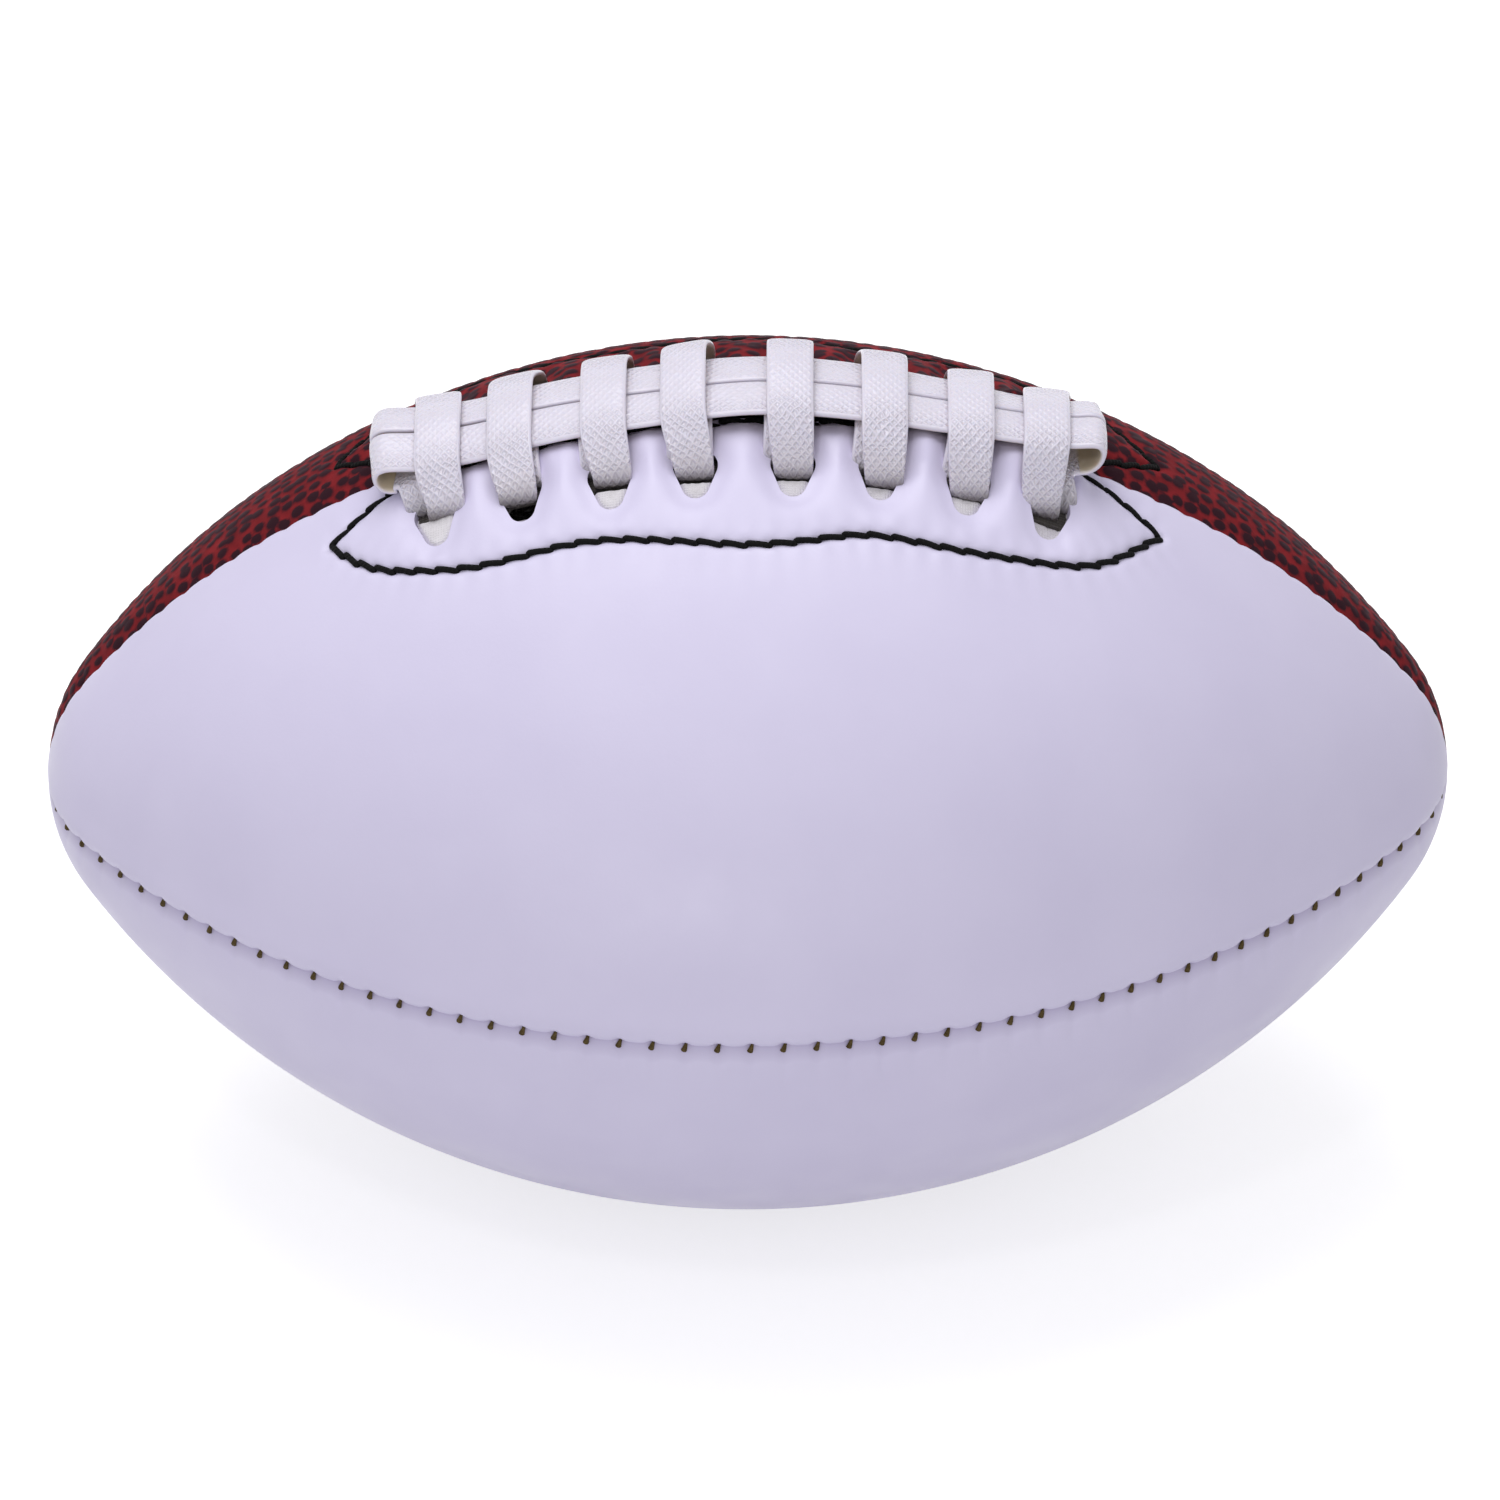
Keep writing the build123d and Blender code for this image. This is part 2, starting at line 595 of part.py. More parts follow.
# The pass from the first front hole to the second climbs from the lower layer to the upper one
with BuildPart() as climbing_pass:
    half, neck = HOLE_PITCH / 2, LACE_NECK / 2
    with BuildSketch(along(1.5)):
        with BuildLine():
            Polyline(
                (-half - neck, -LOWER_LAYER),
                (-half + neck + LACE_THICKNESS, -LOWER_LAYER),
                (half - 2 * neck, -UPPER_LAYER),
                (half + neck, -UPPER_LAYER),
            )
        trace(line_width=LACE_THICKNESS)
    extrude(amount=2 * HOLE_ROW)
    with BuildSketch(station(1.5)):
        with BuildLine():
            Polyline(
                (-half - neck, -OVER_ROW - LACE_THICKNESS / 2),
                (-half + neck, -OVER_ROW - LACE_THICKNESS / 2),
                (half - 2 * neck, -UNDER_ROW - LACE_THICKNESS / 2),
                (half + neck, -UNDER_ROW - LACE_THICKNESS / 2),
                (half + neck, -UNDER_ROW - LACE_THICKNESS / 2 + LACE_NECK),
                (-half - neck, -OVER_ROW - LACE_THICKNESS / 2 + LACE_NECK),
                close=True,
            )
        make_face()
    extrude(amount=2 * BED_DEPTH, both=True, mode=Mode.INTERSECT)

with BuildPart() as lace:
    add(long_strips.part)
    for number in range(1, HOLE_COUNT + 1):
        turn = degrees(station_angle(number))
        inner = number not in (1, HOLE_COUNT)
        add(over_crossing.part.rotate(BELLY_AXIS, turn))
        add((under_crossing if inner else parted_crossing).part.rotate(BELLY_AXIS, turn))
    slant = HOLE_PITCH / 2
    for number in range(2, HOLE_COUNT + 1):
        inner_pass(number - 0.5, slant, -slant, OVER_ROW, LOWER_LAYER)
    for number in range(3, HOLE_COUNT):
        inner_pass(number - 0.5, slant, -slant, UNDER_ROW, UPPER_LAYER)
    inner_pass(1, 0, 0, UNDER_ROW, UPPER_LAYER)
    add(climbing_pass.part)
    with BuildSketch(station(HOLE_COUNT - 0.5).offset(-UPPER_LAYER - LACE_THICKNESS / 2)):
        with Locations((0, UNDER_ROW + LACE_THICKNESS / 2 - LACE_NECK / 2)):
            Rectangle(HOLE_PITCH + LACE_NECK, LACE_NECK)
    extrude(amount=LACE_THICKNESS)
lace.part.label = "lace"
export_step(lace.part, "parts/lace.step")

# The guard lies flat between the lace and the bladder
with BuildPart() as bladder_guard:
    with BuildSketch(SIDE):
        with BuildLine():
            CenterArc(
                (0, -BELLY_DROP),
                PAD_BELLY_RADIUS - GUARD_DEPTH - GUARD_THICKNESS / 2,
                90 - degrees(GUARD_LENGTH / 2 / PAD_BELLY_RADIUS),
                2 * degrees(GUARD_LENGTH / 2 / PAD_BELLY_RADIUS),
            )
        trace(line_width=GUARD_THICKNESS)
    extrude(amount=GUARD_WIDTH / 2, both=True)
    with BuildSketch(PLAN):
        RectangleRounded(GUARD_LENGTH, GUARD_WIDTH, GUARD_CORNER)
    extrude(amount=PAD_TOP, mode=Mode.INTERSECT)
bladder_guard.part.label = "bladder_guard"
export_step(bladder_guard.part, "parts/bladder_guard.step")


def bed_tool(depth):
    """Everything above the flat bed that the guard presses into the bladder."""
    level, bed = GUARD_LENGTH / 2, PAD_BELLY_RADIUS - depth
    brow = sqrt(bed**2 - level**2) - BELLY_DROP
    with BuildSketch(SIDE) as side:
        with BuildLine():
            ThreePointArc((-level, brow), (0, bed - BELLY_DROP), (level, brow))
            Polyline(
                (level, brow),
                (level + BED_RUNOUT, brow),
                (level + BED_RUNOUT, PAD_TOP),
                (-level - BED_RUNOUT, PAD_TOP),
                (-level - BED_RUNOUT, brow),
                (-level, brow),
            )
        make_face()
    extrude(side.sketch, amount=RADIUS, both=True, mode=Mode.SUBTRACT)


# The bladder, flattened under the guard, with a hole for the valve
with BuildPart() as bladder_void:
    revolve(ball_outline(0, BLADDER_INSET + BLADDER_WALL), axis=LENGTH_AXIS)
    bed_tool(BED_DEPTH + BLADDER_WALL)

with BuildPart() as bladder:
    revolve(ball_outline(0, BLADDER_INSET), axis=LENGTH_AXIS)
    bed_tool(BED_DEPTH)
    add(bladder_void.part, mode=Mode.SUBTRACT)
    cut_valve_hole()
bladder.part.label = "bladder"
export_step(bladder.part, "parts/bladder.step")

# The valve: a flanged rubber body bonded inside the bladder, and a plug that takes the needle
with BuildPart() as valve_body:
    revolve(ball_outline(0, BLADDER_INSET + BLADDER_WALL), axis=LENGTH_AXIS)
    revolve(
        ball_outline(0, BLADDER_INSET + BLADDER_WALL + VALVE_FLANGE_THICKNESS),
        axis=LENGTH_AXIS,
        mode=Mode.SUBTRACT,
    )
    with BuildSketch(VALVE):
        Circle(VALVE_FLANGE_RADIUS)
    extrude(amount=-VALVE_LENGTH, mode=Mode.INTERSECT)
    with BuildSketch(VALVE.offset(-VALVE_RECESS)):
        Circle(VALVE_NECK_RADIUS)
    extrude(amount=VALVE_RECESS - VALVE_LENGTH)
    with BuildSketch(VALVE.offset(-VALVE_LENGTH)):
        Circle(VALVE_STEM_RADIUS)
    extrude(amount=VALVE_LENGTH - BLADDER_INSET - BLADDER_WALL - VALVE_FLANGE_THICKNESS)
    with BuildSketch(VALVE):
        Circle(CORE_RADIUS + CORE_CLEARANCE)
    extrude(amount=-2 * VALVE_LENGTH, mode=Mode.SUBTRACT)
valve_body.part.label = "valve_body"
export_step(valve_body.part, "parts/valve_body.step")

with BuildPart() as valve_core:
    with BuildSketch(VALVE.offset(-VALVE_RECESS)):
        Circle(CORE_RADIUS)
    extrude(amount=VALVE_RECESS - VALVE_LENGTH - CORE_HEAD_HEIGHT)
    with BuildSketch(VALVE.offset(-VALVE_LENGTH - LAYER_GAP)):
        Circle(CORE_HEAD_RADIUS)
    extrude(amount=-CORE_HEAD_HEIGHT)
    with BuildSketch(VALVE):
        Circle(NEEDLE_RADIUS)
    extrude(amount=-VALVE_RECESS - NEEDLE_DEPTH, mode=Mode.SUBTRACT)
valve_core.part.label = "valve_core"
export_step(valve_core.part, "parts/valve_core.step")
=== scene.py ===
# %% [markdown]
# # An american football, dressed in Blender
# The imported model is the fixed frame: 21 nodes on one body, in metres, with the ball lying on its
# belly, X from nose to nose and the lacing on top. This lesson keeps the inner pieces as they are and
# models what shows once more, with its folds: the leather panels, the cloth in the lace holes, the
# lace and the threads.

# %% Load the frame
import math

import bpy
import numpy as np
from mathutils import Matrix, Vector


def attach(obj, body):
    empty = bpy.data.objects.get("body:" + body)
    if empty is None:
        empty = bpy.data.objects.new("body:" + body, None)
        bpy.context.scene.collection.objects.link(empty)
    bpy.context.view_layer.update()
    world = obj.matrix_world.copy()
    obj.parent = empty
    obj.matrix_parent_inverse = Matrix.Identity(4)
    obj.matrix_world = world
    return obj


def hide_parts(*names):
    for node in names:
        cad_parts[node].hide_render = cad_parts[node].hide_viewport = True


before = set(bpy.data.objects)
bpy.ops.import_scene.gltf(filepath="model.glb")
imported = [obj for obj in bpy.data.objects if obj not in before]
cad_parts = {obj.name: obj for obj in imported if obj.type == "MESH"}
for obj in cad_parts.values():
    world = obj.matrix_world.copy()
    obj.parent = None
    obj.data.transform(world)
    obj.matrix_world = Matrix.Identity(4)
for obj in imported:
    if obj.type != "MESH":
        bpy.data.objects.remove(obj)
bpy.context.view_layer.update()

MM = 0.001

# %% [markdown]
# ## The outline of the ball
# Two arcs make the outline: a long belly arc, and a small arc at each nose that runs on from it.
# A distance `s` along the outline, counted from the middle, and a turn `a` about the length axis,
# counted from the lacing towards the front, name every place on the ball, as on an unrolled panel.

# %% Outline
BALL_LENGTH = 275 * MM
BALL_DIAMETER = 173 * MM
TIP_RADIUS = 37 * MM
RADIUS = BALL_DIAMETER / 2
HALF_LENGTH = BALL_LENGTH / 2
TIP_CENTRE = HALF_LENGTH - TIP_RADIUS
BELLY_RADIUS = (HALF_LENGTH**2 - 2 * HALF_LENGTH * TIP_RADIUS + RADIUS**2) / (2 * (RADIUS - TIP_RADIUS))
BELLY_DROP = BELLY_RADIUS - RADIUS
TIP_TURN = math.atan2(BELLY_DROP, TIP_CENTRE)
BELLY_SPAN = BELLY_RADIUS * (math.pi / 2 - TIP_TURN)
SPAN = BELLY_SPAN + TIP_RADIUS * TIP_TURN


def outline(s):
    """Station, radius and outward direction of the outline at a distance along it."""
    reach = np.minimum(np.abs(s), SPAN)
    belly = reach / BELLY_RADIUS
    tip = TIP_TURN - (reach - BELLY_SPAN) / TIP_RADIUS
    inner = reach <= BELLY_SPAN
    x = np.where(inner, BELLY_RADIUS * np.sin(belly), TIP_CENTRE + TIP_RADIUS * np.cos(tip))
    r = np.where(inner, BELLY_RADIUS * np.cos(belly) - BELLY_DROP, TIP_RADIUS * np.sin(tip))
    out_x = np.where(inner, np.sin(belly), np.cos(tip))
    out_r = np.where(inner, np.cos(belly), np.sin(tip))
    side = np.sign(s)
    return x * side, np.maximum(r, 0), out_x * side, out_r


def ball_radius(s):
    """Radius of the ball at a distance along its outline."""
    return outline(s)[1]


def on_ball(s, a, lift):
    """Place on the ball, lifted square to its skin."""
    x, r, out_x, out_r = outline(s)
    r = r + lift * out_r
    return np.stack([x + lift * out_x, -r * np.sin(a), RADIUS + r * np.cos(a)], axis=-1)


print("outline: half length along the seam", round(SPAN / MM, 1), "mm")

# %% [markdown]
# ## A grid, wrapped
# A leather panel is cut flat and pulled round the ball. Here too: a flat grid is added, each of its
# points is carried to its place on the ball, and edit-mode operators close it. Sculpting could give
# the same form, but a formula keeps every fold where the stitches are.

# %% Helpers for wrapped grids
def only(piece):
    """Select one piece alone and make it active."""
    bpy.ops.object.select_all(action="DESELECT")
    piece.select_set(True)
    bpy.context.view_layer.objects.active = piece


def added(name, add, **settings):
    """Add an object with an operator, selected alone, and name it and its data."""
    bpy.ops.object.select_all(action="DESELECT")
    add(**settings)
    made = bpy.context.object
    made.name = made.data.name = name
    return made


def places_of(piece):
    """The places of a piece's points, one row for each."""
    flat = np.empty(len(piece.data.vertices) * 3, np.float32)
    piece.data.vertices.foreach_get("co", flat)
    return flat.reshape(-1, 3)


def wrapped_grid(name, points, **values):
    """A grid whose points are carried to the given rows and columns of places, with named values."""
    rows, columns = points.shape[:2]
    cells = {"x_subdivisions": columns - 1, "y_subdivisions": rows - 1}
    piece = added(name, bpy.ops.mesh.primitive_grid_add, size=1, **cells)
    flat = places_of(piece) + 0.5
    column = np.rint(flat[:, 0] * (columns - 1)).astype(int)
    row = np.rint(flat[:, 1] * (rows - 1)).astype(int)
    piece.data.vertices.foreach_set("co", points[row, column].astype(np.float32).ravel())
    for key, value in values.items():
        attribute = piece.data.attributes.new(key, "FLOAT", "POINT")
        attribute.data.foreach_set("value", value[row, column].astype(np.float32).ravel())
    piece.data.update()
    return piece


def delete_points(piece, key):
    """Delete the points whose named value is above a half, with their faces, and the value itself."""
    value = np.empty(len(piece.data.vertices), np.float32)
    piece.data.attributes[key].data.foreach_get("value", value)
    only(piece)
    bpy.ops.object.mode_set(mode="EDIT")
    bpy.ops.mesh.select_mode(type="VERT")
    bpy.ops.mesh.select_all(action="DESELECT")
    bpy.ops.object.mode_set(mode="OBJECT")
    piece.data.vertices.foreach_set("select", value > 0.5)
    bpy.ops.object.mode_set(mode="EDIT")
    bpy.ops.mesh.delete(type="VERT")
    bpy.ops.object.mode_set(mode="OBJECT")
    piece.data.attributes.remove(piece.data.attributes[key])


WELD = 0.002 * MM


def weld(piece, centre=None):
    """Merge doubled points, and face every face away from a centre or, without one, outwards."""
    only(piece)
    bpy.ops.object.mode_set(mode="EDIT")
    bpy.ops.mesh.select_all(action="SELECT")
    bpy.ops.mesh.remove_doubles(threshold=WELD)
    bpy.ops.mesh.normals_make_consistent(inside=False)
    bpy.ops.object.mode_set(mode="OBJECT")
    if centre is not None:
        facing = sum((f.center - centre).dot(f.normal) * f.area for f in piece.data.polygons)
        if facing < 0:
            bpy.ops.object.mode_set(mode="EDIT")
            bpy.ops.mesh.select_all(action="SELECT")
            bpy.ops.mesh.flip_normals()
            bpy.ops.object.mode_set(mode="OBJECT")


def give_wall(piece, thickness, keep):
    """Give a sheet its thickness, inwards, and thin out the faces of the hidden inner wall."""
    only(piece)
    piece.vertex_groups.new(name="inner_wall")
    wall = piece.modifiers.new("wall", "SOLIDIFY")
    wall.thickness = thickness
    wall.offset = -1
    wall.shell_vertex_group = "inner_wall"
    bpy.ops.object.modifier_apply(modifier=wall.name)
    bpy.ops.object.mode_set(mode="EDIT")
    bpy.ops.mesh.select_all(action="DESELECT")
    bpy.ops.object.vertex_group_set_active(group="inner_wall")
    bpy.ops.object.vertex_group_select()
    bpy.ops.mesh.decimate(ratio=keep)
    bpy.ops.object.mode_set(mode="OBJECT")
    piece.vertex_groups.clear()


def finish_piece(piece, finish, slot, *nodes, smooth=55):
    """Shade a piece, give it its finish, and let it ride in the place of its CAD nodes."""
    only(piece)
    bpy.ops.object.shade_smooth_by_angle(angle=math.radians(smooth))
    piece.data.materials.clear()
    piece.data.materials.append(finish)
    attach(piece, "root")
    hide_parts(*nodes)
    print(piece.name, sum(len(f.vertices) - 2 for f in piece.data.polygons), "triangles")


print("helpers ready")

# %% [markdown]
# ## Seams
# At a seam one panel's edge rolls inwards and lies as a lip over its neighbour, which sinks softly
# below it. A thread pulls the two together at every stitch, and between two stitches the lip swells,
# which gives it a row of small scallops.

# %% Seam roll
LIP_ROLL = 2.3 * MM
LIP_DEPTH = 1.45 * MM
LIP_REACH = 3.2 * MM
LIP_SCALLOP = 0.5 * MM
LIP_BULGE = 0.45 * MM
SUNK_ROLL = 8.0 * MM
SUNK_DEPTH = 1.1 * MM
SEAM_PITCH = 6.33 * MM
SEAM_PHASE = 1.1 * MM
PULL_REACH = 1.15 * MM
PULL_WIDER = 0.25
PULL_DEEPER = 0.3
NOSE_WIDTH = 26 * MM
NOSE_SHARE = 0.2
ROLL_LIMIT = 0.45
EDGE_LIMIT = 0.7


def stitch_pull(s):
    """1 at a seam stitch, falling to 0 on both sides of it."""
    off = (s - SEAM_PHASE + SEAM_PITCH / 2) % SEAM_PITCH - SEAM_PITCH / 2
    return np.exp(-((off / PULL_REACH) ** 2))


def seam_share(distance, s, width, lip):
    """0 on the open panel, rising to 1 at the bottom of the seam."""
    roll = LIP_ROLL if lip else SUNK_ROLL
    reach = np.minimum(roll * (1 + PULL_WIDER * stitch_pull(s)), ROLL_LIMIT * width)
    return np.clip(1 - distance / np.maximum(reach, WELD), 0, 1)


def seam_roll(distance, s, width, lip, bulge=0):
    """How far the skin rises or drops towards a seam: round as a lip, or soft as a sunk edge."""
    share = seam_share(distance, s, width, lip)
    pull = (1 + PULL_DEEPER * stitch_pull(s)) * np.clip(width / NOSE_WIDTH, NOSE_SHARE, 1)
    if lip:
        swollen = bulge * np.clip(width / NOSE_WIDTH - NOSE_SHARE, 0, 1)
        swollen = swollen * np.exp(-((distance / LIP_REACH - 1) ** 2))
        return swollen - LIP_DEPTH * pull * (1 - np.sqrt(np.maximum(1 - share**2, 0)))
    return -SUNK_DEPTH * pull * share**2


def lip_scallop(distance, s, width):
    """How far a lip reaches over its neighbour between two stitches."""
    near = np.clip(1 - distance / LIP_REACH, 0, 1)
    return LIP_SCALLOP * near * (1 - stitch_pull(s)) * np.clip(width / NOSE_WIDTH, 0, 1)


def panel_lines(rows, first, last, middle):
    """Distances from the first seam for each row along a panel: named lines near both seams, and
    evenly spaced ones between them. Returns them with the panel's width at each row."""
    width = (ball_radius(rows) * math.pi / 2)[:, None]
    shrink = np.minimum(1, width / (first[-1] + last[-1]) * EDGE_LIMIT)
    start, end = first[None, :] * shrink, width - last[None, ::-1] * shrink
    share = np.linspace(0, 1, middle + 2)[None, 1:-1]
    between = start[:, -1:] + (end[:, :1] - start[:, -1:]) * share
    return np.concatenate([start, between, end], axis=1), width


EDGE_LINES = np.array([0, 0.1, 0.3, 0.6, 0.95, 1.35, 1.8, 2.3, 2.9, 3.6, 4.5, 5.8]) * MM
print("seam lines:", len(EDGE_LINES), "beside each seam")

# %% [markdown]
# ## The pad round the lacing
# The leather stands a little higher round the lace holes, where a reinforcement is sewn in. A line of
# black stitches, a long eye with a wavy lower side, draws it down; inside the line it puffs up.

# %% Pad and eye
PAD_RAISE = 1.2 * MM
PAD_HALF_WIDTH = 29 * MM
PAD_LEVEL = 62 * MM
PAD_END = 79 * MM
PAD_END_FALL = 3
PAD_SOFTNESS = 0.25 * MM
PAD_TOP = RADIUS + PAD_RAISE
PAD_AXIS = (PAD_TOP**2 - RADIUS**2) / (2 * (PAD_TOP - math.sqrt(RADIUS**2 - PAD_HALF_WIDTH**2)))
PAD_BELLY_RADIUS = BELLY_RADIUS + PAD_RAISE


def pad_lift(s, a):
    """How far the pad stands above the ball's own skin."""
    x, r, _, out_r = outline(s)
    reach = np.abs(x)
    shoulder = math.sqrt(PAD_BELLY_RADIUS**2 - PAD_LEVEL**2) - BELLY_DROP
    end = math.sqrt(BELLY_RADIUS**2 - PAD_END**2) - BELLY_DROP
    level = np.sqrt(np.maximum(PAD_BELLY_RADIUS**2 - reach**2, 0)) - BELLY_DROP
    slope = shoulder + (reach - PAD_LEVEL) / (PAD_END - PAD_LEVEL) * (end - shoulder)
    slope = slope - PAD_END_FALL * np.maximum(reach - PAD_END, 0)
    crest = np.maximum(np.where(reach <= PAD_LEVEL, level, slope) - PAD_AXIS, 0)
    room = crest**2 - (r * np.sin(a)) ** 2
    height = PAD_AXIS + np.sqrt(np.maximum(room, 0))
    rise = np.where(room > 0, (height - r * np.cos(a)) * np.cos(a) * out_r, -RADIUS)
    return (rise + np.sqrt(rise**2 + PAD_SOFTNESS**2)) / 2


# The stitched eye from its left tip, along its lower side and back along its upper one: distance
# along the ball and from the seam, in millimetres
EYE_LOWER = [(-79.4, 13.2), (-73.4, 20.7), (-65.5, 26.1), (-50.0, 30.9), (-29.0, 30.7), (-10.0, 33.2),
             (1.4, 34.2), (12.0, 33.0), (24.0, 30.4), (43.2, 30.4), (60.4, 27.7), (70.0, 22.8), (80.1, 11.4)]
EYE_UPPER = [(80.1, 11.4), (73.5, 6.8), (66.0, 3.6), (52.0, 2.6), (34.0, 4.2), (16.0, 5.0), (0.0, 5.4),
             (-18.0, 6.0), (-36.0, 6.4), (-52.0, 6.2), (-67.0, 5.8), (-73.0, 8.4), (-79.4, 13.2)]
EYE_STEPS = 24
STITCH_LENGTH = 4.75 * MM
PER_STITCH = 8


def smooth_line(points):
    """A rounded line through points, as a Catmull-Rom curve."""
    p = np.array(points, float)
    p = np.concatenate([[2 * p[0] - p[1]], p, [2 * p[-1] - p[-2]]])
    t = np.linspace(0, 1, EYE_STEPS, endpoint=False)[:, None]
    runs = []
    for a, b, c, d in zip(p[:-3], p[1:-2], p[2:-1], p[3:]):
        square, cube = 2 * a - 5 * b + 4 * c - d, 3 * b - a - 3 * c + d
        runs.append(0.5 * (2 * b + (c - a) * t + square * t**2 + cube * t**3))
    return np.concatenate(runs + [p[-2:-1]])


def stitched_line(points):
    """A rounded line through points, cut into even stitches with a few points each."""
    line = smooth_line(points) * MM
    line[:, 0] = BELLY_RADIUS * np.arcsin(line[:, 0] / BELLY_RADIUS)
    length = np.concatenate([[0], np.cumsum(np.linalg.norm(np.diff(line, axis=0), axis=1))])
    at = np.linspace(0, length[-1], round(length[-1] / STITCH_LENGTH) * PER_STITCH + 1)
    return np.stack([np.interp(at, length, line[:, k]) for k in (0, 1)], axis=-1)[:-1]


eye = np.concatenate([stitched_line(EYE_LOWER), stitched_line(EYE_UPPER)])


def eye_distance(s, d):
    """Distance inside the stitched eye, negative outside it, and the stitch number at that place."""
    distance = np.full(s.shape, 1.0)
    phase = np.zeros(s.shape)
    inside = np.zeros(s.shape, bool)
    for k in range(len(eye)):
        (sa, da), (sb, db) = eye[k], eye[(k + 1) % len(eye)]
        run = np.array([sb - sa, db - da])
        t = np.clip(((s - sa) * run[0] + (d - da) * run[1]) / (run @ run), 0, 1)
        gap = np.hypot(s - sa - t * run[0], d - da - t * run[1])
        nearer = gap < distance
        distance = np.where(nearer, gap, distance)
        phase = np.where(nearer, (k + t) / PER_STITCH, phase)
        crosses = (da > d) != (db > d)
        inside ^= crosses & (s < sa + (d - da) / (db - da + 1e-15) * run[0])
    return np.where(inside, distance, -distance), phase


print("eye:", len(eye) // PER_STITCH, "stitches")

# %% [markdown]
# ## Lace holes
# Eight pairs of holes stand along a curved row, each square to the pad. A hole is a slot with a round
# outer end; the leather dips into it, because the lace pulls it in, and swells between two holes.

# %% Lace holes
HOLE_COUNT = 8
HOLE_PITCH = 17.4 * MM
HOLE_FAR_RADIUS = 2.6 * MM
HOLE_NEAR_RADIUS = 4.3 * MM
HOLE_FAR = 20.8 * MM
HOLE_NEAR = 16.0 * MM
HOLE_DIP = 1.4 * MM
DIP_REACH = 3.0 * MM
# Each hole's own place, in millimetres: along the seam, and its far end's distance towards the seam
FRONT_HOLES = {1: (-0.3, 0.5), 2: (0.0, 0.5), 3: (0.3, -0.4), 4: (-0.4, 0.2),
               5: (1.0, 0.5), 6: (0.6, 1.4), 7: (0.4, 1.4), 8: (-0.3, 1.0)}
REAR_HOLES = {1: (1.0, 0.5), 2: (1.0, 0.0), 3: (1.0, 0.0), 4: (-0.6, 0.0),
              5: (-0.2, 0.0), 6: (-0.8, 0.0), 7: (-0.5, 0.0), 8: (-1.5, 0.5)}
SIDES = (("front", 1, FRONT_HOLES), ("rear", -1, REAR_HOLES))
SLIT_HALF_LENGTH = 66 * MM
SLIT_HALF_GAP = 2.0 * MM
RIM_PASSES = 3
RIM_STEP = 0.01 * MM


def station_angle(number):
    """Turn of a row of lace holes about the belly's centre, for holes numbered from the left."""
    return (number - (HOLE_COUNT + 1) / 2) * HOLE_PITCH / PAD_BELLY_RADIUS


def hole_gap(u, v):
    """Signed distance from a lace hole's rim, negative inside: a slot with a narrow and a wide end."""
    u, v = np.abs(u), HOLE_FAR - v
    length = HOLE_FAR - HOLE_NEAR
    taper = (HOLE_FAR_RADIUS - HOLE_NEAR_RADIUS) / length
    flat = math.sqrt(1 - taper**2)
    k = -taper * u + flat * v
    far, near = np.hypot(u, v) - HOLE_FAR_RADIUS, np.hypot(u, v - length) - HOLE_NEAR_RADIUS
    return np.where(k < 0, far, np.where(k > flat * length, near, flat * u + taper * v - HOLE_FAR_RADIUS))


def hole_place(s, a, number, holes):
    """Place of a point beside a hole row: along the seam, and across from the seam."""
    x, r, _, _ = outline(s)
    turn = station_angle(number)
    along = x * math.cos(turn) - (r * np.cos(a) + BELLY_DROP) * math.sin(turn)
    return along - holes[number][0] * MM, r * np.sin(a) + holes[number][1] * MM


def nearest_hole(s, a, holes):
    """Signed distance to the rim of the nearest lace hole."""
    return np.min([hole_gap(*hole_place(s, a, number, holes)) for number in holes], axis=0)


def fit_holes(s, a, holes):
    """Carry the grid points next to each hole onto its rim, and tell which points lie inside."""
    r = ball_radius(s)
    inside = nearest_hole(s, a, holes) < 0
    beside = np.zeros_like(inside)
    for i in (-1, 0, 1):
        for j in (-1, 0, 1):
            beside |= np.roll(np.roll(inside, i, 0), j, 1)
    beside &= ~inside
    for _ in range(RIM_PASSES):
        gap = nearest_hole(s, a, holes)
        slope_s = (nearest_hole(s + RIM_STEP, a, holes) - gap) / RIM_STEP
        slope_a = (nearest_hole(s, a + RIM_STEP / np.maximum(r, MM), holes) - gap) / RIM_STEP
        size = np.maximum(slope_s**2 + slope_a**2, 0.2)
        s = np.where(beside, s - gap * slope_s / size, s)
        a = np.where(beside, a - gap * slope_a / size / np.maximum(r, MM), a)
    return s, a, inside


print("lace holes:", HOLE_COUNT, "pairs over", round((HOLE_COUNT - 1) * HOLE_PITCH / MM, 1), "mm")

# %% [markdown]
# ## Form of the laced panels
# All these folds add up to one height above the ball's skin. The same function places the grid points
# of both laced panels and, later, the black thread that lies in the groove.

# %% Height of a laced panel
GROOVE_DEPTH = 0.85 * MM
GROOVE_REACH = 1.15 * MM
PUFF_HEIGHT = 1.15 * MM
PUFF_REACH = 4.5 * MM
PUCKER_HEIGHT = 0.26 * MM
PUCKER_REACH = 2.6 * MM
PUCKER_START = 2 * MM
# The swelling between two holes, by distance from the seam
SWELL_HEIGHT = 1.15 * MM
SWELL_START = 1 * MM
SWELL_NEAR = 6 * MM
SWELL_FAR = 27 * MM
SWELL_FADE = 18 * MM
CREST_FAR = 15 * MM
CREST_FADE = 6 * MM
CREST_MORE = 0.7
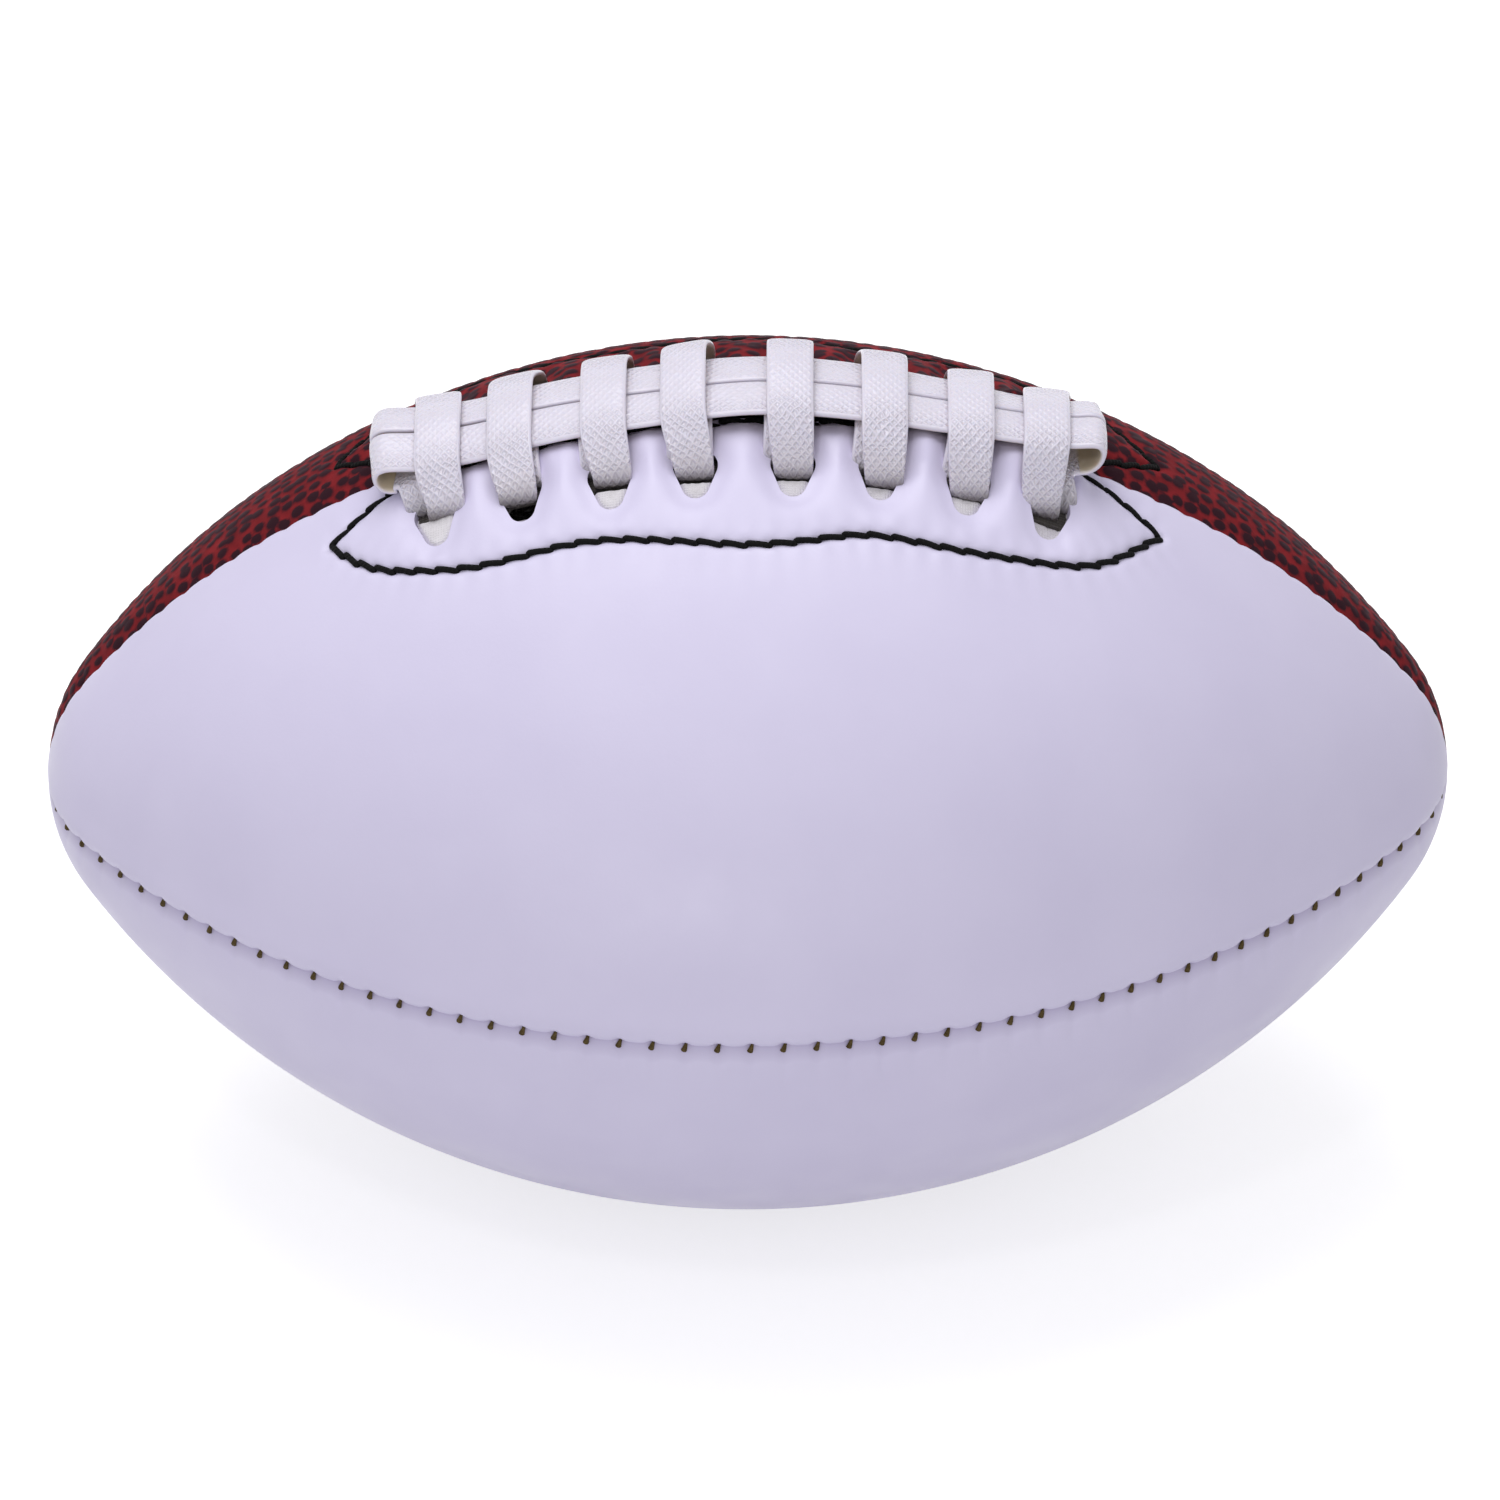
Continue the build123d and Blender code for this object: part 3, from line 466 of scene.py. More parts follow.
# How much more it swells at the right end, with the hole rows between which that grows
RIGHT_SWELLS = ((0.6, 5.2, 6.4), (0.8, 6.6, 7.4))
PILLOW_HEIGHT = 1.0 * MM
PILLOW_FAR = 14 * MM
PILLOW_FADE = 5 * MM
PILLOW_ROWS = (5.8, 6.5)
SLIT_FALL = 2.2 * MM
SLIT_FALL_FAR = 5 * MM
SLIT_FALL_FADE = 4 * MM
SLIT_END_FADE = 6 * MM
SLIT_GAP_FAR = 9 * MM
SLIT_GAP_FADE = 4 * MM


def smooth_step(value, low, high):
    """0 below low, 1 above high, and a soft rise between."""
    t = np.clip((value - low) / (high - low), 0, 1)
    return t * t * (3 - 2 * t)


def laced_height(s, d, holes, lip=True):
    """Height of a laced panel above the ball's skin, at a distance from the top seam."""
    x, r, _, _ = outline(s)
    width = r * math.pi / 2
    a = d / np.maximum(r, WELD)
    height = seam_roll(d, s, width, lip) + seam_roll(width - d, s, width, lip, LIP_BULGE) + pad_lift(s, a)
    inside, stitch = eye_distance(s, d)
    needle = np.cos(2 * math.pi * stitch)
    height -= GROOVE_DEPTH * (0.8 + 0.3 * needle) * np.exp(-((inside / GROOVE_REACH) ** 2))
    height += PUFF_HEIGHT * np.where(inside > 0, 1 - np.exp(-inside / PUFF_REACH), 0)
    fold = np.sin(2 * math.pi * (stitch + 0.25)) + 0.6 * np.sin(2 * math.pi * (stitch * 0.37 + 0.1))
    off = np.abs(inside)
    height += PUCKER_HEIGHT * fold * np.exp(-off / PUCKER_REACH) * smooth_step(off, 0, PUCKER_START)
    row = s / BELLY_RADIUS * PAD_BELLY_RADIUS / HOLE_PITCH + (HOLE_COUNT + 1) / 2
    between = 0.5 - 0.5 * np.cos(2 * math.pi * row)
    ends = smooth_step(row, 0.7, 2.3) * smooth_step(HOLE_COUNT + 0.5 - row, 0, 0.7)
    start = smooth_step(d, SWELL_START, SWELL_NEAR)
    zone = start * smooth_step(SWELL_FAR - d, 0, SWELL_FADE)
    zone = zone * (1 + CREST_MORE * smooth_step(CREST_FAR - d, 0, CREST_FADE))
    right_end = 1
    for more, low, high in RIGHT_SWELLS:
        right_end = right_end + more * smooth_step(row, low, high)
    height += SWELL_HEIGHT * right_end * (0.65 * between + 0.1) * zone * ends
    pillow = start * smooth_step(PILLOW_FAR - d, 0, PILLOW_FADE)
    height += PILLOW_HEIGHT * smooth_step(row, *PILLOW_ROWS) * between * pillow * ends
    laced = smooth_step(SLIT_HALF_LENGTH - np.abs(x), 0, SLIT_END_FADE)
    height -= SLIT_FALL * smooth_step(SLIT_FALL_FAR - d, 0, SLIT_FALL_FADE) * laced
    rim = np.maximum(nearest_hole(s, a, holes), 0)
    return height - HOLE_DIP * np.exp(-((rim / DIP_REACH) ** 2))


def slit_gap(s, d):
    """How far a laced panel stands back from the slit."""
    x, _, _, _ = outline(s)
    open_part = smooth_step(SLIT_HALF_LENGTH - np.abs(x), 0, SLIT_GAP_FADE)
    return SLIT_HALF_GAP * open_part * np.clip(1 - d / SLIT_GAP_FAR, 0, 1)


print("laced panels: groove", GROOVE_DEPTH / MM, "mm, puff", PUFF_HEIGHT / MM, "mm")

# %% [markdown]
# ## Camera
# The photograph was taken from the front and above with a long lens, and the ball fills its width.

# %% Camera
VIEW_DISTANCE = 2091.9 * MM
VIEW_ELEVATION = math.radians(37.678)
VIEW_AZIMUTH = math.radians(0.700)
VIEW_ROLL = math.radians(-0.715)
VIEW_LENS = 255.4
VIEW_RISE = 3.75 * MM
VIEW_SHIFT = 0.5 * MM

back = Vector((math.sin(VIEW_AZIMUTH) * math.cos(VIEW_ELEVATION),
               -math.cos(VIEW_AZIMUTH) * math.cos(VIEW_ELEVATION), math.sin(VIEW_ELEVATION)))
right = Vector((math.cos(VIEW_AZIMUTH), math.sin(VIEW_AZIMUTH), 0))
up = back.cross(right)
turned_right = right * math.cos(VIEW_ROLL) + up * math.sin(VIEW_ROLL)
turned_up = up * math.cos(VIEW_ROLL) - right * math.sin(VIEW_ROLL)
camera = added("camera", bpy.ops.object.camera_add)
camera.data.lens = VIEW_LENS
camera.data.sensor_width = 36
camera.data.clip_end = 20
place = Vector((0, 0, RADIUS)) + back * VIEW_DISTANCE + turned_up * VIEW_RISE + turned_right * VIEW_SHIFT
turned = Matrix((turned_right, turned_up, back)).transposed().to_4x4()
camera.matrix_world = Matrix.Translation(place) @ turned
bpy.context.scene.camera = camera
print("camera at", [round(x, 3) for x in place])

# %% [markdown]
# ## Finishes
# Each material is a Principled shader with its own pattern. The patterns read Object coordinates in
# metres, or a named value that the mesh carries, such as how near a place is to a seam.

# %% Helpers for finishes
def new_finish(name, roughness, specular, more=()):
    """A node material with a Principled shader and its settings. Returns it with its tree and shader."""
    finish = bpy.data.materials.new(name)
    finish.use_nodes = True
    shader = finish.node_tree.nodes["Principled BSDF"]
    settings = {"Roughness": roughness, "Specular IOR Level": specular, **dict(more)}
    for key, value in settings.items():
        shader.inputs[key].default_value = value
    return finish, finish.node_tree, shader


def node(tree, kind, inputs=(), **settings):
    """A new node with its settings, and its inputs either set or linked."""
    made = tree.nodes.new("ShaderNode" + kind)
    for key, value in settings.items():
        setattr(made, key, value)
    for key, value in dict(inputs).items():
        if isinstance(value, bpy.types.NodeSocket):
            tree.links.new(value, made.inputs[key])
        else:
            made.inputs[key].default_value = value
    return made


def place_of(tree):
    """Object coordinates of the surface."""
    return node(tree, "TexCoord").outputs["Object"]


def value_of(tree, key):
    """A named value that the mesh carries."""
    return node(tree, "Attribute", attribute_name=key).outputs["Fac"]


def ramp(tree, value, stops):
    """Colours or shades along a value from 0 to 1."""
    made = node(tree, "ValToRGB", {"Fac": value})
    while len(made.color_ramp.elements) < len(stops):
        made.color_ramp.elements.new(0.5)
    for element, (at, colour) in zip(made.color_ramp.elements, stops):
        element.position = at
        element.color = (*colour, 1)
    return made.outputs["Color"]


def noise(tree, scale, detail, rough=0.5):
    """A soft random pattern, scale in features per metre."""
    inputs = {"Vector": place_of(tree), "Scale": scale, "Detail": detail, "Roughness": rough}
    return node(tree, "TexNoise", inputs).outputs["Fac"]


def mix_colour(tree, factor, one, two):
    """Two colours mixed by a factor."""
    made = node(tree, "Mix", data_type="RGBA")
    for key, value in ((0, factor), (6, one), (7, two)):
        if isinstance(value, bpy.types.NodeSocket):
            tree.links.new(value, made.inputs[key])
        else:
            made.inputs[key].default_value = value if key == 0 else (*value, 1)
    return made.outputs[2]


def math_node(tree, operation, one, two=0.0):
    """A sum, product or other result of two values."""
    return node(tree, "Math", {0: one, 1: two}, operation=operation).outputs[0]


def bump(tree, shader, height, distance, strength):
    """Raise the surface's shading by a height pattern, on top of what is there already."""
    made = node(tree, "Bump", {"Height": height, "Distance": distance, "Strength": strength})
    old = shader.inputs["Normal"].links
    if old:
        tree.links.new(old[0].from_socket, made.inputs["Normal"])
    tree.links.new(made.outputs["Normal"], shader.inputs["Normal"])


print("finish helpers ready")

# %% [markdown]
# ### White leather
# A smooth coated leather with a cool lavender tint and a very fine grain. Beside a seam it is painted a
# little darker and warmer: painted shade, full on the panel that sinks below a lip and weaker on the lip
# itself.

# %% White leather
LEATHER_WHITE = (0.715, 0.67, 0.885)
LEATHER_SHADE = (0.69, 0.645, 0.86)
LEATHER_SEAM_SHADE = (0.51, 0.46, 0.66)


def make_white_leather():
    """Coated white leather."""
    finish, tree, shader = new_finish("white_leather", 0.42, 0.45)
    cloud = ramp(tree, noise(tree, 38, 3), [(0.35, LEATHER_WHITE), (0.68, LEATHER_SHADE)])
    # Painted shade beside the seams, read from the mesh's edge value
    edge = ramp(tree, value_of(tree, "edge"), [(0.5, (0, 0, 0)), (1.0, (1, 1, 1))])
    tree.links.new(mix_colour(tree, edge, cloud, LEATHER_SEAM_SHADE), shader.inputs["Base Color"])
    gloss = ramp(tree, noise(tree, 90, 4), [(0.3, (0.36,) * 3), (0.7, (0.5,) * 3)])
    tree.links.new(gloss, shader.inputs["Roughness"])
    grain = node(tree, "TexVoronoi", {"Vector": place_of(tree), "Scale": 1500}, feature="F1")
    bump(tree, shader, grain.outputs["Distance"], 0.02 * MM, 0.35)
    bump(tree, shader, noise(tree, 260, 5, rough=0.6), 0.12 * MM, 0.25)
    return finish


white_leather = make_white_leather()
print("finish:", white_leather.name)

# %% [markdown]
# ### Pebbled brown leather
# The grip panel has a red ground with near-black pebbles. The mesh carries the pebbles as real bumps
# and as a value, so that the colour sits exactly on them.

# %% Pebbled leather
GROUND_RED = (0.25, 0.022, 0.027)
GROUND_DARK = (0.13, 0.014, 0.018)
PEBBLE_DARK = (0.033, 0.0125, 0.0185)


def make_brown_leather():
    """Red-brown pebbled leather."""
    sheen = {"Sheen Weight": 0.11, "Sheen Roughness": 0.3, "Sheen Tint": (0.8, 0.5, 0.62, 1)}
    finish, tree, shader = new_finish("brown_leather", 0.5, 0.007, sheen)
    ground = ramp(tree, noise(tree, 220, 3), [(0.3, GROUND_RED), (0.75, GROUND_DARK)])
    speckle = math_node(tree, "MULTIPLY", noise(tree, 900, 2), 0.3)
    rough_edge = math_node(tree, "ADD", value_of(tree, "pebble"), speckle)
    dark = ramp(tree, rough_edge, [(0.2, (0, 0, 0)), (0.72, (1, 1, 1))])
    tree.links.new(mix_colour(tree, dark, ground, PEBBLE_DARK), shader.inputs["Base Color"])
    gloss = ramp(tree, value_of(tree, "pebble"), [(0.2, (0.6,) * 3), (0.8, (0.46,) * 3)])
    tree.links.new(gloss, shader.inputs["Roughness"])
    bump(tree, shader, noise(tree, 1300, 3), 0.06 * MM, 0.4)
    return finish


brown_leather = make_brown_leather()
print("finish:", brown_leather.name)

# %% [markdown]
# ### Embossed lace
# The lace is a soft vinyl strip, pressed with a diamond pattern between two smooth borders. The mesh carries
# the distance along and across the strip, and two sets of slanted ridges make the diamonds, with painted
# shade in the grooves between them.
# They are worn nearly flat beside the seam, where the strips lie. The back is plain and beige, which shows
# inside the loops. Towards the holes the lace turns darker, with dirt and painted shade, and painted shade
# darkens it where it dives into a hole.

# %% Lace finish
LACE_WHITE = (0.755, 0.72, 0.84)
LACE_SHADE = (0.73, 0.69, 0.80)
LACE_GROOVE_SHADE = (0.69, 0.655, 0.76)
LACE_DIRT_AND_SHADE = (0.58, 0.53, 0.54)
LACE_UNDER = (0.62, 0.53, 0.40)
LACE_HOLE_SHADE = (0.12, 0.105, 0.10)
DIAMOND_PITCH = 1.9 * MM
DIAMOND_WANDER = 1.6 * MM
DIAMOND_SLANT = 1.15
EMBOSS_HALF_WIDTH = 4.0 * MM
EMBOSS_DEPTH = 0.3 * MM
EMBOSS_WORN = 0.3
# Distances from the seam between which the embossing grows to its full depth, and the lace darkens with dirt
# and painted shade
EMBOSS_FROM = 5 * MM
EMBOSS_FULL = 11 * MM
DIRT_AND_SHADE_FROM = 14.5 * MM
DIRT_AND_SHADE_FULL = 20 * MM


def make_lace_finish():
    """White vinyl with diamond embossing."""
    soft = {"Subsurface Weight": 0.15, "Subsurface Radius": (1.0, 0.75, 0.55), "Subsurface Scale": 1.2 * MM}
    finish, tree, shader = new_finish("white_lace", 0.22, 0.5, soft)
    tint = ramp(tree, noise(tree, 240, 3), [(0.35, LACE_WHITE), (0.75, LACE_SHADE)])
    along, across = value_of(tree, "along"), value_of(tree, "across")
    ridges = []
    wander = math_node(tree, "MULTIPLY", noise(tree, 330, 2), DIAMOND_WANDER)
    for operation in ("ADD", "SUBTRACT"):
        slant = math_node(tree, operation, along, math_node(tree, "MULTIPLY", across, DIAMOND_SLANT))
        slant = math_node(tree, "ADD", slant, wander)
        wave = math_node(tree, "SINE", math_node(tree, "MULTIPLY", slant, math.pi / DIAMOND_PITCH))
        ridges.append(math_node(tree, "POWER", math_node(tree, "ABSOLUTE", wave), 3.0))
    net = math_node(tree, "MAXIMUM", *ridges)
    inner = math_node(tree, "LESS_THAN", math_node(tree, "ABSOLUTE", across), EMBOSS_HALF_WIDTH)
    net = math_node(tree, "MULTIPLY", net, inner)
    # Painted shade in the grooves between the ridges
    groove = math_node(tree, "MULTIPLY", math_node(tree, "SUBTRACT", inner, net), 0.25)
    tint = mix_colour(tree, groove, tint, LACE_GROOVE_SHADE)
    place = node(tree, "SeparateXYZ", {"Vector": place_of(tree)})
    off = math_node(tree, "ABSOLUTE", place.outputs["Y"])
    # Darker towards the holes: dirt and painted shade
    dirt_and_shade = node(tree, "MapRange", {"Value": off, "From Min": DIRT_AND_SHADE_FROM, "From Max": DIRT_AND_SHADE_FULL, "To Max": 0.6})
    tint = mix_colour(tree, dirt_and_shade.outputs["Result"], tint, LACE_DIRT_AND_SHADE)
    reach = {"Value": off, "From Min": EMBOSS_FROM, "From Max": EMBOSS_FULL, "To Min": EMBOSS_WORN}
    relief = math_node(tree, "MULTIPLY", net, node(tree, "MapRange", reach).outputs["Result"])
    under = value_of(tree, "under")
    relief = math_node(tree, "MULTIPLY", relief, math_node(tree, "SUBTRACT", 1.0, under))
    tint = mix_colour(tree, under, tint, LACE_UNDER)
    # Painted shade where the lace dives below the leather into a hole
    tint = mix_colour(tree, value_of(tree, "deep"), tint, LACE_HOLE_SHADE)
    tree.links.new(tint, shader.inputs["Base Color"])
    bump(tree, shader, relief, EMBOSS_DEPTH, 1.0)
    bump(tree, shader, noise(tree, 650, 2), 0.06 * MM, 0.3)
    return finish


lace_finish = make_lace_finish()
print("finish:", lace_finish.name)

# %% [markdown]
# ### Threads, cloth and rubber
# The thread is spun from two strands, so its shading has a slanted wave. The cloths behind the panels show a
# plain weave, and the rubber of the bladder and the valve is dull, with a trace of talc. The lining and the
# guard are coloured near black, painted shade that keeps the slit and the deeper holes dark.

# %% Threads, cloth and rubber
TWIST_PITCH = 0.9 * MM


def make_thread(name, colour, light, roughness, specular):
    """Spun thread of a colour."""
    finish, tree, shader = new_finish(name, roughness, specular)
    tint = ramp(tree, noise(tree, 1400, 2), [(0.3, colour), (0.75, light)])
    tree.links.new(tint, shader.inputs["Base Color"])
    along, turn = value_of(tree, "along"), value_of(tree, "turn")
    twist = math_node(tree, "ADD", math_node(tree, "MULTIPLY", along, 2 * math.pi / TWIST_PITCH), turn)
    bump(tree, shader, math_node(tree, "SINE", twist), 0.1 * MM, 0.6)
    return finish


def make_cloth(name, colour, shade, pitch):
    """Plain woven cloth."""
    finish, tree, shader = new_finish(name, 0.9, 0.2, {"Sheen Weight": 0.3})
    tint = ramp(tree, noise(tree, 500, 4), [(0.3, colour), (0.8, shade)])
    tree.links.new(tint, shader.inputs["Base Color"])
    yarns = {"Vector": place_of(tree), "Scale": 0.31 / pitch, "Distortion": 1.0, "Detail": 2}
    for direction in ("X", "Y"):
        weave = node(tree, "TexWave", yarns, bands_direction=direction)
        bump(tree, shader, weave.outputs["Fac"], 0.12 * MM, 0.5)
    return finish


def make_rubber(name, colour, dust):
    """Dull moulded rubber with a trace of talc."""
    finish, tree, shader = new_finish(name, 0.62, 0.4)
    tint = ramp(tree, noise(tree, 160, 5), [(0.45, colour), (0.8, dust)])
    tree.links.new(tint, shader.inputs["Base Color"])
    bump(tree, shader, noise(tree, 900, 4), 0.05 * MM, 0.4)
    return finish


black_thread = make_thread("black_thread", (0.0025, 0.0025, 0.003), (0.006, 0.006, 0.006), 0.8, 0.12)
seam_thread = make_thread("seam_thread", (0.060, 0.040, 0.014), (0.13, 0.092, 0.035), 0.8, 0.15)
# Lining and guard are near black: painted shade, so that the slit and the deep holes look dark
lining_cloth = make_cloth("lining_cloth", (0.07, 0.062, 0.055), (0.05, 0.045, 0.04), 0.6 * MM)
facing_cloth = make_cloth("facing_cloth", (0.80, 0.77, 0.82), (0.69, 0.66, 0.70), 0.5 * MM)
guard_cloth = make_cloth("guard_cloth", (0.09, 0.085, 0.08), (0.065, 0.06, 0.06), 0.9 * MM)
bladder_rubber = make_rubber("bladder_rubber", (0.02, 0.02, 0.021), (0.09, 0.09, 0.09))
valve_rubber = make_rubber("valve_rubber", (0.03, 0.03, 0.032), (0.08, 0.08, 0.08))

KEPT_NODES = {
    "lining_front": lining_cloth, "lining_rear": lining_cloth,
    "lining_front_lower": lining_cloth, "lining_rear_lower": lining_cloth,
    "bladder_guard": guard_cloth, "bladder": bladder_rubber,
    "valve_body": valve_rubber, "valve_core": valve_rubber,
}
for name, finish in KEPT_NODES.items():
    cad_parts[name].data.materials.clear()
    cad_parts[name].data.materials.append(finish)
print("kept nodes:", ", ".join(KEPT_NODES))

# %% [markdown]
# ## The white laced panel
# The large panel in front. Its grid is fine where the stitches, holes and seams are and wide where
# the leather is plain.

# %% White laced panel
PANEL_WALL = 1.7 * MM
INNER_KEEP = 0.12
ROW_STEP = 0.6 * MM
PAD_LINES = np.arange(6.3, 37.5, 0.5) * MM
PLAIN_LINES = 20
# How much of the painted seam shade lies on a lip
LIP_SEAM_SHADE = 0.3
TOP_SCALLOP = 0.5
TOP_SCALLOP_FULL = 74 * MM
BALL_CENTRE = Vector((0, 0, RADIUS))


def even_rows(step):
    """Rows along a panel, nose to nose."""
    return np.linspace(-SPAN, SPAN, 2 * round(SPAN / step) + 1)


def laced_panel(name, rows, first, last, middle, side, holes, extra=None):
    """A laced panel on the front, with lips at its seams, or on the rear with a side of -1."""
    lip = side > 0
    d, width = panel_lines(rows, first, last, middle)
    s = np.repeat(rows[:, None], d.shape[1], axis=1)
    r = ball_radius(s)
    share = d / np.maximum(width, WELD)
    a = np.where(width > WELD, d / np.maximum(r, WELD), share * math.pi / 2)
    a = a + slit_gap(s, d) / np.maximum(r, MM)
    s, a, inside = fit_holes(s, a, holes)
    d = a * ball_radius(s)
    height = laced_height(s, d, holes, lip)
    edge = np.maximum(seam_share(d, s, width, lip), seam_share(width - d, s, width, lip))
    # The edge value carries the painted seam shade, weaker on a lip
    values = {"edge": edge * (LIP_SEAM_SHADE if lip else 1.0), "hole": inside * 1.0}
    if lip:
        sewn = smooth_step(np.abs(outline(s)[0]), SLIT_HALF_LENGTH, TOP_SCALLOP_FULL)
        top = TOP_SCALLOP * lip_scallop(d, s, width) * sewn
        a = a + (lip_scallop(width - d, s, width) - top) / np.maximum(r, MM)
    if extra is not None:
        bumps, values["pebble"] = extra(s, d)
        height = height + bumps
    piece = wrapped_grid(name, on_ball(s, a * side, height), **values)
    delete_points(piece, "hole")
    weld(piece, BALL_CENTRE)
    give_wall(piece, PANEL_WALL, INNER_KEEP)
    return piece


front_lines = np.concatenate([EDGE_LINES, PAD_LINES])
panel_front = laced_panel("panel_front_leather", even_rows(ROW_STEP), front_lines, EDGE_LINES, PLAIN_LINES,
                          1, FRONT_HOLES)
finish_piece(panel_front, white_leather, "white_leather", "panel_front")

# %% [markdown]
# ## The pebbled panel
# The panel behind the lacing is the same cut with another leather. Its pebbles stand on a jittered
# honeycomb, each with its own size, and rise a sixth of a millimetre.

# %% Pebbled panel
PEBBLE_ROW = 3.2 * MM
PEBBLE_STEP = 3.7 * MM
PEBBLE_JITTER = 0.24
PEBBLE_RADIUS = 1.52 * MM
PEBBLE_VARIES = 0.2
PEBBLE_HEIGHT = 0.17 * MM
PEBBLE_SEED = 7
PEBBLE_NOSE = (4 * MM, 14 * MM)
SLACK = 1.9 * MM
# Where the slack grows: degrees from the top seam, degrees from the rear seam, and length from its ends
SLACK_TOP = (22, 37)
SLACK_FOOT = (5, 32)
SLACK_END = 112 * MM
SLACK_FADE = 67 * MM


def slack(s, d):
    """How far the middle of this panel lies below the round form, because it is pulled less tight."""
    x, r, _, _ = outline(s)
    a = np.degrees(d / np.maximum(r, MM))
    depth = SLACK * smooth_step(a, *SLACK_TOP) * smooth_step(90 - a, *SLACK_FOOT)
    return depth * smooth_step(SLACK_END - np.abs(x), 0, SLACK_FADE)


def pebbles(s, d):
    """Height of the pebbles less the slack, and a value that is 1 on pebbles and 0 on the ground."""
    count = (int(2 * SPAN / PEBBLE_ROW) + 8, int(RADIUS * math.pi / 2 / PEBBLE_STEP) + 8)
    random = np.random.default_rng(PEBBLE_SEED)
    jitter = random.uniform(-PEBBLE_JITTER, PEBBLE_JITTER, (*count, 2))
    radius = PEBBLE_RADIUS * random.uniform(1 - PEBBLE_VARIES, 1 + PEBBLE_VARIES, count)
    row = (s + SPAN) / PEBBLE_ROW + 2
    height, mask = np.zeros(s.shape), np.zeros(s.shape)
    for i in (-1, 0, 1):
        at_row = np.clip(np.rint(row).astype(int) + i, 0, count[0] - 1)
        column = d / PEBBLE_STEP + 2 + 0.5 * (at_row % 2)
        for j in (-1, 0, 1):
            at_column = np.clip(np.rint(column).astype(int) + j, 0, count[1] - 1)
            off = jitter[at_row, at_column]
            far_s = (row - at_row - off[..., 0]) * PEBBLE_ROW
            far_d = (column - at_column - off[..., 1]) * PEBBLE_STEP
            q = np.hypot(far_s, far_d) / radius[at_row, at_column]
            height = np.maximum(height, np.sqrt(np.maximum(1 - q**2, 0)))
            mask = np.maximum(mask, np.clip(1.6 * (1.12 - q), 0, 1))
    fade = smooth_step(ball_radius(s), *PEBBLE_NOSE)
    return PEBBLE_HEIGHT * height * fade - slack(s, d), mask


GRIP_STEP = 0.7 * MM
GRIP_EDGE = [0, 0.15, 0.45, 0.9, 1.4, 2.0, 2.7]
GRIP_FIRST = np.concatenate([GRIP_EDGE, np.arange(3.4, 36, 0.72)]) * MM
GRIP_LAST = np.array(GRIP_EDGE + [3.4]) * MM
GRIP_LINES = 118
panel_rear = laced_panel("panel_rear_leather", even_rows(GRIP_STEP), GRIP_FIRST, GRIP_LAST, GRIP_LINES,
                         -1, REAR_HOLES, pebbles)
finish_piece(panel_rear, brown_leather, "brown_leather", "panel_rear")

# %% [markdown]
# ## The two lower panels
# These are plain: only their seams are folded. The rear one has the hole for the valve, cut with a
# Boolean modifier as a punch would cut it.

# %% Lower panels
LOWER_LINES = 34


def lower_panel(name, start):
    """A plain panel from a seam where it lies below its neighbour to one where it has the lip."""
    rows = even_rows(ROW_STEP)
    d, width = panel_lines(rows, EDGE_LINES, EDGE_LINES, LOWER_LINES)
    s = np.repeat(rows[:, None], d.shape[1], axis=1)
    even = np.linspace(0, 1, d.shape[1])[None, :]
    share = np.where(width > WELD, d / np.maximum(width, WELD), even)
    height = seam_roll(d, s, width, False) + seam_roll(width - d, s, width, True)
    # The edge value carries the painted seam shade, weaker on the lip
    edge = np.maximum(seam_share(d, s, width, False), LIP_SEAM_SHADE * seam_share(width - d, s, width, True))
    scallop = lip_scallop(width - d, s, width) / np.maximum(ball_radius(s), MM)
    a = math.radians(start) + share * math.pi / 2 + scallop
    piece = wrapped_grid(name, on_ball(s, a, height), edge=edge)
    weld(piece, BALL_CENTRE)
    give_wall(piece, PANEL_WALL, INNER_KEEP)
    return piece


panel_front_lower = lower_panel("panel_front_lower_leather", 90)
finish_piece(panel_front_lower, white_leather, "white_leather", "panel_front_lower")
panel_rear_lower = lower_panel("panel_rear_lower_leather", 180)

VALVE_TURN = math.radians(225)
VALVE_HOLE_RADIUS = 3.25 * MM
PUNCH_LENGTH = 12 * MM
PUNCH_SIDES = 48
valve_out = Vector((0, -math.sin(VALVE_TURN), math.cos(VALVE_TURN)))
punch = added("punch", bpy.ops.mesh.primitive_cylinder_add, vertices=PUNCH_SIDES, radius=VALVE_HOLE_RADIUS,
              depth=PUNCH_LENGTH, location=BALL_CENTRE + valve_out * RADIUS,
              rotation=valve_out.to_track_quat("Z", "X").to_euler())
only(panel_rear_lower)
cut = panel_rear_lower.modifiers.new("valve_hole", "BOOLEAN")
cut.object = punch
cut.operation = "DIFFERENCE"
bpy.ops.object.modifier_apply(modifier=cut.name)
bpy.data.objects.remove(punch)
finish_piece(panel_rear_lower, white_leather, "white_leather", "panel_rear_lower")

# %% [markdown]
# ## The cloth in the lace holes
# Behind each row of holes lies the reinforcement that the black stitching holds. It is cut for the
# lace only, so its pale fibre shows at the outer end of most holes, a little below the leather.

# %% Reinforcement cloth
CLOTH_STEP = 0.7 * MM
CLOTH_MARGIN = 2.5 * MM
CLOTH_DEPTH = 1.9 * MM
CLOTH_WALL = 0.7 * MM
CLOTH_FUZZ = 0.12 * MM
CLOTH_SEED = 3
CLOTH_KEEP = 0.5
# The cloth's end, and its near and far side from the seam, in millimetres
CLOTH_END = 86
CLOTH_NEAR = 2.6
CLOTH_FAR = 39
